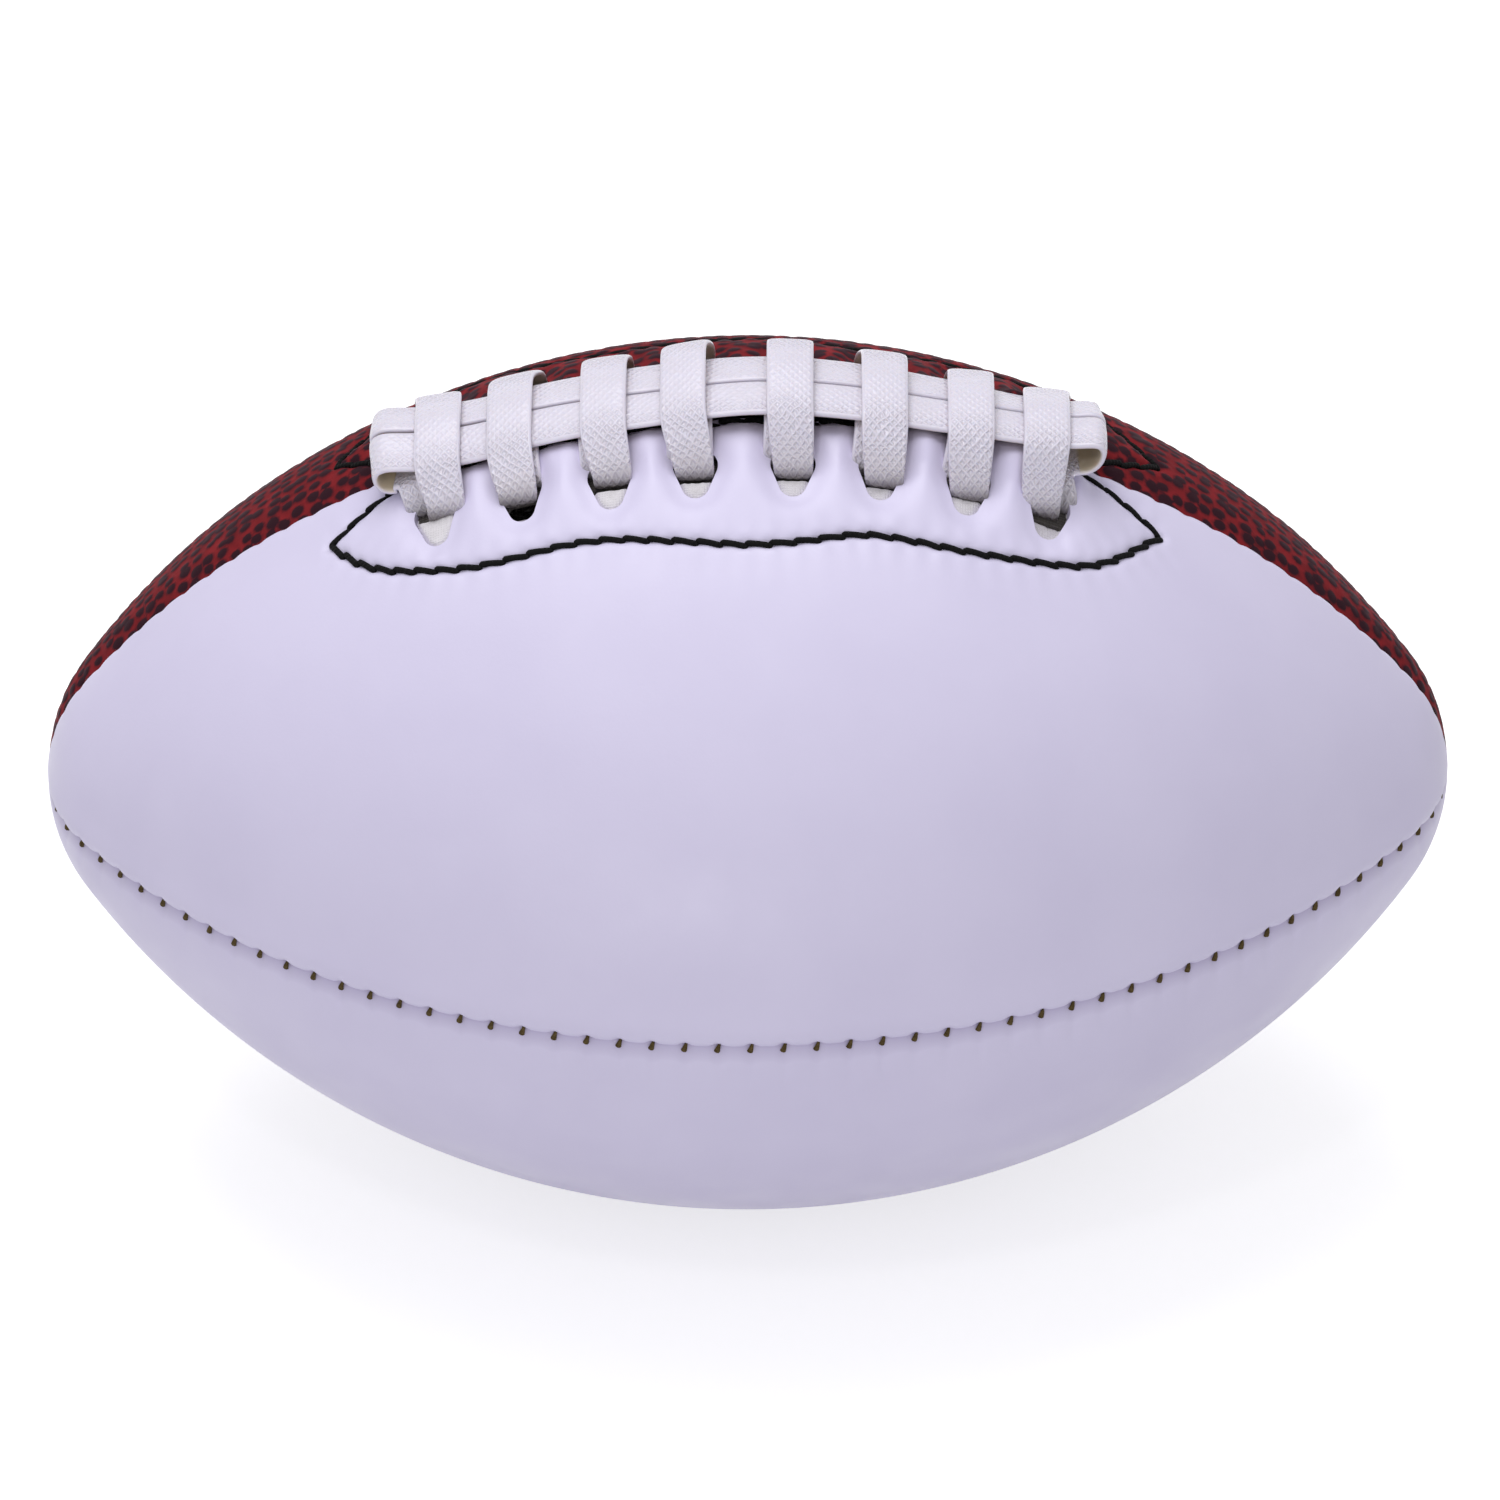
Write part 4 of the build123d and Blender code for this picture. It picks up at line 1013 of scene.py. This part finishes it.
# How deep the cloth lies in each hole and how far its slot is drawn to the seam, in millimetres
CLOTH_IN_HOLE = {1: 0.6, 2: 4.5, 3: 0.7, 4: 0.8, 5: 1.1, 6: 1.2, 7: 1.1, 8: 2.6}
CLOTH_INSET = {1: 3.2, 2: 0.4, 3: 0.3, 4: 0.5, 5: 1.0, 6: 0.7, 7: 1.4, 8: 2.2}
SLOT_HALF_WIDTH = 4.0 * MM
SLOT_NEAR = 11.5 * MM
SLOT_FAR = 19.2 * MM


def reinforcement(name, side, holes):
    """The cloth behind a row of lace holes, on the front, or on the rear with a side of -1."""
    rows = np.arange(-CLOTH_END, CLOTH_END + 0.1, CLOTH_STEP / MM) * MM
    columns = np.arange(CLOTH_NEAR, CLOTH_FAR, CLOTH_STEP / MM) * MM
    s, d = np.meshgrid(rows, columns, indexing="ij")
    a = d / ball_radius(s)
    outside = eye_distance(s, d)[0] < -CLOTH_MARGIN
    depth = np.full(s.shape, CLOTH_DEPTH)
    for number in holes:
        u, v = hole_place(s, a, number, holes)
        in_hole = smooth_step(-hole_gap(u, v), -0.1 * MM, 0.6 * MM)
        depth += (CLOTH_IN_HOLE[number] * MM - CLOTH_DEPTH) * in_hole
        v = v - holes[number][1] * MM + CLOTH_INSET[number] * MM
        outside |= (np.abs(u) < SLOT_HALF_WIDTH) & (v > SLOT_NEAR) & (v < SLOT_FAR)
    fuzz = np.random.default_rng(CLOTH_SEED).uniform(-CLOTH_FUZZ, CLOTH_FUZZ, s.shape)
    places = on_ball(s, a * side, laced_height(s, d, holes) - depth + fuzz)
    piece = wrapped_grid(name, places, cut=outside * 1.0)
    delete_points(piece, "cut")
    weld(piece, BALL_CENTRE)
    give_wall(piece, CLOTH_WALL, CLOTH_KEEP)
    return piece


for label, side, holes in SIDES:
    piece = reinforcement("hole_cloth_" + label, side, holes)
    finish_piece(piece, facing_cloth, "facing_cloth", "lace_facing_" + label, smooth=70)

# %% [markdown]
# ## The lace
# One strip closes the slit. It crosses from hole to hole under two long strips, runs out and back as
# those strips with a loop at each end, and crosses again over them. A bevelled curve would twist at
# the turns, so the strip's middle, its width and the direction of its width are set at each key.

# %% Route of the lace
LACE_THICKNESS = 1.6 * MM
STRIP_WIDTH = 9.3
REAR_STRIP = 4.75
FRONT_STRIP = 5.0
STRIP_LEVEL = 4.55
INSIDE_WIDTH = 5.6
UPPER_DEPTH = 8.4
LOWER_DEPTH = 10.7
TURN_RADIUS = 4.9
TURN_START = 1.5
TURN_RISE = 0.85
LEVEL_WIDTH = 4.6
BELLY_CENTRE = Vector((0, 0, RADIUS - BELLY_DROP))

# Half of a crossing from its middle outwards: across, out and width in millimetres
OVER_HALF = [(0, 6.35, 9), (4.5, 6.35, 9), (8.0, 6.4, 9), (10.4, 6.0, 9), (12.5, 4.8, 8.9), (14.6, 3.0, 8.6),
             (16.5, 0.9, 8.1), (17.9, -1.2, 7.6), (18.1, -3.0, 7.3), (16.6, -4.6, 6.9), (14.0, -5.9, 6.2),
             (11.4, -7.2, 5.6)]
UNDER_HALF = [(0, 3.15, 9), (4.5, 3.15, 9), (8.4, 2.9, 9), (10.6, 1.9, 9), (12.5, 0.3, 9), (14.0, -1.5, 9),
              (14.6, -3.1, 9), (13.4, -4.7, 8.2), (11.2, -5.9, 6.8), (9.0, -6.6, 5.6)]
# The end loops, from the last crossing outwards, round and back: along and out in millimetres
LEFT_LOOP = [(0, 4.2), (3, 5.2), (5.8, 6.4), (7.9, 6.9), (9.6, 6.0), (10.0, 4.0), (9.2, 2.2), (7.8, 1.4),
             (6.6, 1.3)]
RIGHT_LOOP = [(0, 6.9), (2.2, 7.9), (4.0, 8.7), (5.4, 8.9), (6.5, 7.9), (6.9, 6.0), (6.5, 4.0), (5.3, 2.4),
              (4.0, 1.8)]
# A pass beside the panel: share of the way, depth in millimetres, and how flat the strip lies
LEVEL_PASS = [(-1, 9, 1), (-0.85, 10.4, 0.7), (-0.4, 10.7, 0.2), (0.4, 10.7, -0.2), (0.85, 10.4, -0.7),
              (1, 9, -1)]
# Where each crossing lies along the ball, at the strips and at the front hole, in millimetres, its tilt
# in degrees, how high it arches, and how far the crossing below it and both ends are drawn in
LACE_TOP = {1: -58.6, 2: -44.75, 3: -26.7, 4: -11.4, 5: 9.1, 6: 27.2, 7: 43.7, 8: 58.2}
LACE_FOOT = {1: -56.7, 2: -42.9, 3: -24.8, 4: -9.1, 5: 9.7, 6: 27.0, 7: 43.2, 8: 56.9}
LACE_TILT = {1: -12, 2: 0, 3: 0, 4: 10, 5: 0, 6: 0, 7: 10, 8: 15}
LACE_ARCH = {1: -0.3, 2: 0.5, 3: 0.7, 4: 1.7, 5: 1.7, 6: 1.2, 7: 0.95, 8: 1.1}
UNDER_SHIFT = {1: -1.6, 2: -0.1, 3: -0.8, 4: -1.4, 5: -0.3, 6: -0.7, 7: -0.6, 8: 0.8}
LACE_INSET = {1: 1.9, 2: 0.0, 3: -0.4, 4: -0.2, 5: 0.4, 6: 0.1, 7: 0.8, 8: 1.9}
ARCH_BAND = (-9, 8)
# How far the end legs lean along the seam on their way up to the strips
LEG_LEAN = {1: 0.0, 8: -2.6}
# The long strips' own rise, lean and roof, by hole row
LIFT_ROWS = (1, 1.5, 2, 2.5, 3, 3.5, 4, 4.5, 5, 5.5, 6, 6.5, 7, 7.5, 8)
LIFTS = (-0.6, -1.9, -1.6, -1.35, -1.1, -0.8, -0.1, 0.7, 0.8, 0.65, 0.3, 0.0, 0.3, 0.6, 1.0)
FALL_ROWS = (1, 2.5, 3.5, 4.5, 5.5, 6.5, 7.5, 8)
FALLS = (-0.06, -0.01, -0.01, 0.03, 0.04, 0.07, 0.16, 0.18)
ROOFS = (2.0, 1.4, 0.7, 0.9, 1.0, 1.1, 1.5, 1.8)
ROOF_HALF = 9.5


def strip_lift(number):
    """How much higher the long strips lie at a place along the seam."""
    return float(np.interp(number, LIFT_ROWS, LIFTS))


def strip_fall(number):
    """How far the long strips lean to the rear at a place along the seam."""
    return float(np.interp(number, FALL_ROWS, FALLS))


def strip_roof(number):
    """How far the seam between the two long strips stands above their outer edges."""
    return float(np.interp(number, FALL_ROWS, ROOFS))


def strip_key(number, side, h):
    """Place across and out of a long strip's middle, and the direction of its width."""
    y, roof = strip_middle(side), strip_roof(number)
    rise = roof * (1 - abs(y) / ROOF_HALF) - strip_fall(number) * y
    return y, h + rise, (0, side, -strip_fall(number) * side - roof / ROOF_HALF)


def strip_middle(side):
    """How far a long strip's middle lies from the seam: to the front with a side of -1."""
    return side * (REAR_STRIP if side > 0 else FRONT_STRIP)


keys = []


def hole_axes(number):
    """Directions at a hole row: along the seam, across it to the back, and out of the pad."""
    turn = station_angle(number)
    along = Vector((math.cos(turn), 0, -math.sin(turn)))
    out = Vector((math.sin(turn), 0, math.cos(turn)))
    return along, Vector((0, 1, 0)), out


def key(number, x, y, h, heading, width, face=1):
    """Add a key at a hole row, in millimetres along, across and out, with the heading of its width."""
    along, across, out = hole_axes(number)
    spot = BELLY_CENTRE + out * PAD_BELLY_RADIUS + (along * x + across * y + out * h) * MM
    side = (along * heading[0] + across * heading[1] + out * heading[2]).normalized()
    # The last value is the painted shade for a key below the leather
    keys.append((*spot, *side, width * MM, face, float(smooth_step(-h, 0.8, 3.2))))


def lace_place(number, y, h, x):
    """Where a crossing's key lies, from its distance to the seam: it meets the holes of its row."""
    toward = float(smooth_step(abs(y), 9, 17))
    along = x + (REAR_HOLES[number][0] - x) * toward * (y > 0)
    return along, y - math.copysign(LACE_INSET[number] * toward, y), h


def lifted(number, y, h, crest):
    """Height of a crossing's key, with the lift and lean of the strips that it holds."""
    share = float(smooth_step(h, -1.5, crest))
    return h + share * (strip_lift(number) - strip_fall(number) * y)


def whole(half):
    """Both halves of a crossing."""
    return [(-y, h, width) for y, h, width in half[:0:-1]] + half


def over_crossing(number):
    """A crossing over the strips, from the back to the front."""
    turn = station_angle(number)
    crest = OVER_HALF[0][1]
    for y, h, width in whole(OVER_HALF):
        y = -y
        share = min(max((h + 1) / (crest + 1), 0), 1)
        roof = strip_roof(number) * max(1 - abs(y) / ROOF_HALF, 0)
        arch = LACE_ARCH[number] * share * float(smooth_step(y, *ARCH_BAND))
        h = lifted(number, y, h, crest) + arch + roof
        x = LACE_FOOT[number] + (LACE_TOP[number] - LACE_FOOT[number]) * share
        x = (x - (PAD_BELLY_RADIUS / MM + h) * math.sin(turn)) / math.cos(turn)
        tilt = math.radians(LACE_TILT[number]) * share
        key(number, *lace_place(number, y, h, x), (math.cos(tilt), 0, math.sin(tilt)), width)


def under_crossing(number):
    """A crossing under the strips, from the front to the back."""
    for y, h, width in whole(UNDER_HALF):
        h = lifted(number, y, h, UNDER_HALF[0][1])
        key(number, *lace_place(number, y, h, UNDER_SHIFT[number]), (-1, 0, 0), width)


def inner_pass(number, row, depth, way, slant):
    """A pass inside the ball from one row of holes to the other."""
    step = HOLE_PITCH / MM / 2 * slant
    for f in (-0.8, -0.4, 0, 0.4, 0.8):
        key(number, -step * f * way, row * f * way, -depth, (way, 0.41 * way * slant, 0), INSIDE_WIDTH)


def level_pass(number, row, other_row, heading):
    """A pass inside the ball from a hole to its right neighbour, lying against the panel."""
    for f, depth, flat in LEVEL_PASS:
        x, y = f * HOLE_PITCH / MM / 2, row + (other_row - row) * (f + 1) / 2
        upright = heading * math.sqrt(1 - flat**2)
        key(number, x, y, -depth, (heading * flat, 0, upright), LEVEL_WIDTH)


def end_run(number, side, out):
    """Keys from an end hole, by a flat turn and a loop, to a long strip: side is -1 in front, and out
    is -1 at the left."""
    places = []
    loop = RIGHT_LOOP if out > 0 else LEFT_LOOP
    rise = strip_key(number, side, loop[-1][1])[1] - TURN_START
    shift = UNDER_SHIFT[number]
    for y, h, width in UNDER_HALF[:4:-1]:
        places.append((*lace_place(number, side * y, h, shift), (out, 0, 0), width))
    shift += LEG_LEAN[number]
    for turn in (0, 30, 60, 90):
        t = math.radians(turn)
        x = shift + out * TURN_RADIUS * (1 - math.cos(t))
        y = strip_middle(side) + side * TURN_RADIUS * (1 - math.sin(t))
        h = TURN_START + TURN_RISE * rise * math.sin(t)
        places.append((x, y, h, (out * math.cos(t), side * math.sin(t), 0), STRIP_WIDTH, 0))
    for x, h in loop[::-1]:
        places.append((out * x, *strip_key(number, side, h), STRIP_WIDTH, -1))
    return [(number, *place) for place in places]


def lay(places):
    """Add a run of keys."""
    for place in places:
        key(*place)


def long_strip(side, way):
    """A long strip over the crossings, to the right with a way of 1."""
    for number in np.arange(1.5, HOLE_COUNT, 0.5)[::way]:
        key(number, 0, *strip_key(number, side, STRIP_LEVEL + strip_lift(number)), STRIP_WIDTH, -1)


OVER_ROW, UNDER_ROW = OVER_HALF[-1][0], UNDER_HALF[-1][0]
for n in range(HOLE_COUNT, 0, -1):
    over_crossing(n)
    if n > 1:
        inner_pass(n - 0.5, OVER_ROW, LOWER_DEPTH, 1, 1)
level_pass(1.5, -OVER_ROW, -UNDER_ROW, 1)
for n in range(2, HOLE_COUNT):
    under_crossing(n)
    if n < HOLE_COUNT - 1:
        inner_pass(n + 0.5, UNDER_ROW, UPPER_DEPTH, -1, 1)
level_pass(HOLE_COUNT - 0.5, UNDER_ROW, UNDER_ROW, -1)
lay(end_run(HOLE_COUNT, 1, 1))
long_strip(1, -1)
lay(end_run(1, 1, -1)[::-1])
inner_pass(1, UNDER_ROW, UPPER_DEPTH, -1, 0)
lay(end_run(1, -1, -1))
long_strip(-1, 1)
lay(end_run(HOLE_COUNT, -1, 1)[::-1])
print("lace route:", len(keys), "keys")

# %% [markdown]
# The strip is swept along those keys as one closed grid: its section is a rectangle with round edges,
# and each point keeps how far along and across the strip it lies, for the embossing.

# %% Lace
SECTION_POINTS = 24
SECTION_SQUARE = 3.4
LACE_STEPS = 5


def spline(values, count):
    """A smooth line that follows a row of keys, as a cubic B-spline with its ends held."""
    p = np.concatenate([values[:1], values[:1], values, values[-1:], values[-1:]])
    t = np.linspace(0, 1, count, endpoint=False)[:, None]
    b = ((1 - t) ** 3 / 6, (3 * t**3 - 6 * t**2 + 4) / 6, (-3 * t**3 + 3 * t**2 + 3 * t + 1) / 6, t**3 / 6)
    runs = [b[0] * p[k] + b[1] * p[k + 1] + b[2] * p[k + 2] + b[3] * p[k + 3] for k in range(len(p) - 3)]
    return np.concatenate(runs)


def unit(v):
    """Vectors of length 1."""
    return v / np.maximum(np.linalg.norm(v, axis=-1, keepdims=True), 1e-12)


def swept_strip(name, keys, thickness, count):
    """A strip with rounded edges that follows keys of place, width direction and width."""
    line = spline(np.array(keys), count)
    middle, side, width = line[:, :3], unit(line[:, 3:6]), line[:, 6]
    face, deep = np.concatenate([line[:1, 7:], line[:, 7:], line[-1:, 7:]]).T
    ahead = unit(np.gradient(middle, axis=0))
    out = unit(np.cross(ahead, side))
    side = np.cross(out, ahead)
    turn = np.linspace(0, 2 * math.pi, SECTION_POINTS + 1)
    across = np.sign(np.cos(turn)) * np.abs(np.cos(turn)) ** (2 / SECTION_SQUARE)
    rise = np.sign(np.sin(turn)) * np.abs(np.sin(turn)) ** (2 / SECTION_SQUARE)
    half = np.clip(across[None, :] * width[:, None] / 2, -1, 1)
    points = middle[:, None, :] + half[..., None] * side[:, None, :]
    points = points + rise[None, :, None] * out[:, None, :] * thickness / 2
    around = SECTION_POINTS + 1
    points = np.concatenate([middle[:1, None].repeat(around, 1), points, middle[-1:, None].repeat(around, 1)])
    length = np.concatenate([[0], np.cumsum(np.linalg.norm(np.diff(middle, axis=0), axis=1))])
    length = np.concatenate([length[:1], length, length[-1:]])
    half = np.concatenate([half[:1], half, half[-1:]])
    under = smooth_step(-rise[None, :] * face[:, None], 0.1, 0.8)
    deep, along = deep[:, None].repeat(around, 1), length[:, None].repeat(around, 1)
    piece = wrapped_grid(name, points, along=along, across=half, under=under, deep=deep)
    weld(piece)
    return piece, length[-1]


lace, lace_length = swept_strip("lace_strip", keys, LACE_THICKNESS, LACE_STEPS)
finish_piece(lace, lace_finish, "white_lace", "lace", smooth=80)
print("lace:", round(lace_length / MM), "mm long")

# %% [markdown]
# ## Threads
# A stitch is a short bowed thread whose ends dive into the leather. It is modelled once, from a sphere
# that is drawn out, and copied along each line; every stitch leans a little, as a lock stitch does.

# %% Stitches
THREAD_RADIUS = 0.62 * MM
STITCH_LEAN = math.radians(9)
STITCH_SINK = 0.42 * MM
STITCH_BOW = 0.4 * MM
STITCH_OVERLAP = 1.16
SEAM_THREAD_RADIUS = 0.45 * MM
SEAM_STITCH_LENGTH = 2.2 * MM
SEAM_STITCH_SINK = 0.75 * MM
TOP_SINK = 2.4 * SEAM_STITCH_SINK
TOP_LACED = 72 * MM
SEAM_STITCH_BOW = 0.3 * MM
SEAM_STITCH_LEAN = math.radians(-16)
SEAM_STITCH_BELOW = 0.8 * MM
SEAM_STITCH_TAPER = 0.45
SEAM_NOSE_MARGIN = 6 * MM


def thread_stitch(name, length, radius, bow, taper=0):
    """One stitch along X with its middle at the origin, its ends bent down and its far end thicker."""
    piece = added(name, bpy.ops.mesh.primitive_uv_sphere_add, segments=8, ring_count=8, radius=1,
                  rotation=(0, math.pi / 2, 0))
    bpy.ops.object.transform_apply(rotation=True)
    x, y, z = places_of(piece).T
    along = np.sign(x) * np.abs(x) ** 0.7
    for label, value in (("along", along * length / 2), ("turn", np.arctan2(z, y))):
        attribute = piece.data.attributes.new(label, "FLOAT", "POINT")
        attribute.data.foreach_set("value", value.astype(np.float32))
    blunt = np.minimum(1, 1.3 * np.sqrt(np.maximum(1 - along**4, 0))) / np.maximum(np.hypot(y, z), 1e-6)
    blunt = blunt * (1 + taper * along)
    bent = z * blunt * radius - bow * along**2
    placed = np.stack([along * length / 2, y * blunt * radius, bent], axis=-1)
    piece.data.vertices.foreach_set("co", placed.astype(np.float32).ravel())
    return piece


def sew(name, stitch, places):
    """Copies of a stitch at places of middle, direction and outward side, joined into one piece."""
    copies = []
    for middle, ahead, out in places:
        ahead, out = Vector(ahead).normalized(), Vector(out).normalized()
        left = out.cross(ahead).normalized()
        turn = Matrix((ahead, left, ahead.cross(left))).transposed().to_4x4()
        copy = stitch.copy()
        copy.data = stitch.data.copy()
        copy.data.transform(Matrix.Translation(Vector(middle)) @ turn)
        bpy.context.collection.objects.link(copy)
        copies.append(copy)
    bpy.ops.object.select_all(action="DESELECT")
    for copy in copies:
        copy.select_set(True)
    bpy.context.view_layer.objects.active = copies[0]
    bpy.ops.object.join()
    copies[0].name = copies[0].data.name = name
    return copies[0]


def eye_places(side, holes):
    """Places of the black stitches on the front, or on the rear with a side of -1."""
    ends = np.concatenate([eye[::PER_STITCH], eye[:1]])
    height = laced_height(eye[:, 0], eye[:, 1], holes)
    lift = height[PER_STITCH // 2 :: PER_STITCH] + THREAD_RADIUS - STITCH_SINK
    places = []
    for start, end, h in zip(ends[:-1], ends[1:], lift):
        mid = (start + end) / 2
        run = end - start
        lean = np.array([run[0] * math.cos(STITCH_LEAN) - run[1] * math.sin(STITCH_LEAN),
                         run[0] * math.sin(STITCH_LEAN) + run[1] * math.cos(STITCH_LEAN)])
        spots = []
        for s, d, up in ((*mid, h), (*(mid + lean / 2), h), (*(mid - lean / 2), h), (*mid, h + MM)):
            spots.append(on_ball(s, side * d / ball_radius(s), up))
        places.append((spots[0], spots[1] - spots[2], spots[3] - spots[0]))
    return places


black_stitch = thread_stitch("black_stitch", STITCH_LENGTH * STITCH_OVERLAP, THREAD_RADIUS, STITCH_BOW)
for label, side, holes in SIDES:
    piece = sew("black_stitches_" + label, black_stitch, eye_places(side, holes))
    finish_piece(piece, black_thread, "black_thread", "facing_stitches_" + label, smooth=80)
bpy.data.objects.remove(black_stitch)


def seam_places(turn, clear, sink):
    """Places of the short threads across a seam, leaving out the part that is laced."""
    places = []
    count = int((SPAN - SEAM_NOSE_MARGIN) / SEAM_PITCH)
    for k in range(-count, count + 1):
        s = np.array(k * SEAM_PITCH + SEAM_PHASE)
        x, r, _, _ = outline(s)
        if abs(x) < clear:
            continue
        a = turn + SEAM_STITCH_BELOW / r * (-1 if turn == 0 else 1)
        here, above = on_ball(s, a, -sink), on_ball(s, a, MM)
        lean_s, lean_a = MM * math.sin(SEAM_STITCH_LEAN), MM * math.cos(SEAM_STITCH_LEAN) / r
        beside = on_ball(s + lean_s, a + lean_a, -sink)
        places.append((here, beside - here, above - here))
    return places


seam_stitch = thread_stitch("seam_stitch", SEAM_STITCH_LENGTH, SEAM_THREAD_RADIUS, SEAM_STITCH_BOW,
                            SEAM_STITCH_TAPER)
SEAMS = {"top": (0, TOP_LACED, TOP_SINK), "front": (90, 0, SEAM_STITCH_SINK),
         "bottom": (180, 0, SEAM_STITCH_SINK), "rear": (270, 0, SEAM_STITCH_SINK)}
for label, (turn, clear, sink) in SEAMS.items():
    piece = sew("seam_threads_" + label, seam_stitch, seam_places(math.radians(turn), clear, sink))
    finish_piece(piece, seam_thread, "seam_thread", "seam_stitches_" + label, smooth=80)
bpy.data.objects.remove(seam_stitch)

# %% [markdown]
# ## Floor and light
# The ball lies on a pale matt floor, which keeps its soft shadow. A little glow makes the floor run
# into the white background.

# %% Floor
FLOOR_SIZE = 12
FLOOR_COLOUR = (0.64, 0.64, 0.65, 1)
FLOOR_GLOW = 0.64
floor = added("floor", bpy.ops.mesh.primitive_plane_add, size=FLOOR_SIZE)


def make_floor_finish():
    """Pale matt floor, whiter to the camera than to the light."""
    colours = {"Base Color": FLOOR_COLOUR, "Emission Color": (1, 1, 1, 1)}
    finish, tree, shader = new_finish("floor", 0.9, 0.1, colours)
    rays = node(tree, "LightPath")
    seen = math_node(tree, "MAXIMUM", rays.outputs["Is Camera Ray"], rays.outputs["Is Glossy Ray"])
    glow = node(tree, "MapRange", {"Value": seen, "To Min": 0.0, "To Max": FLOOR_GLOW})
    tree.links.new(glow.outputs["Result"], shader.inputs["Emission Strength"])
    return finish


floor.data.materials.append(make_floor_finish())
print("floor:", FLOOR_SIZE, "m wide")

# %% [markdown]
# The background is plain white to the eye and weaker as a light. A broad key lamp hangs above and a
# little behind the ball, a card lights its front, and a small lamp puts glints on the lace.

# %% World and lamps
WORLD_LEVEL = 0.5
LAMP_AIM = Vector((0, 0, 0.09))
world = bpy.data.worlds.new("studio")
bpy.context.scene.world = world
world.use_nodes = True
tree = world.node_tree
background = tree.nodes["Background"]
background.inputs["Color"].default_value = (1, 1, 1, 1)
rays = node(tree, "LightPath")
seen = math_node(tree, "MAXIMUM", rays.outputs["Is Glossy Ray"], rays.outputs["Is Transmission Ray"])
seen = math_node(tree, "MAXIMUM", rays.outputs["Is Camera Ray"], seen)
level = node(tree, "MapRange", {"Value": seen, "To Min": WORLD_LEVEL, "To Max": 1.0})
tree.links.new(level.outputs["Result"], background.inputs["Strength"])


def lamp(name, place, size, power):
    """A square soft light that points at the ball's middle, in metres and watts."""
    light = added(name, bpy.ops.object.light_add, type="AREA", location=place)
    light.data.shape = "SQUARE"
    light.data.size = size
    light.data.energy = power
    light.rotation_euler = (LAMP_AIM - Vector(place)).to_track_quat("-Z", "Y").to_euler()


lamp("key", (-0.16, 0.3, 1.4), 1.0, 9.6)
lamp("front card", (-0.2, -1.6, 0.2), 0.4, 3.8)
lamp("glint", (-0.25, -0.75, 1.25), 0.12, 1.0)
bpy.context.scene.view_settings.view_transform = "Standard"
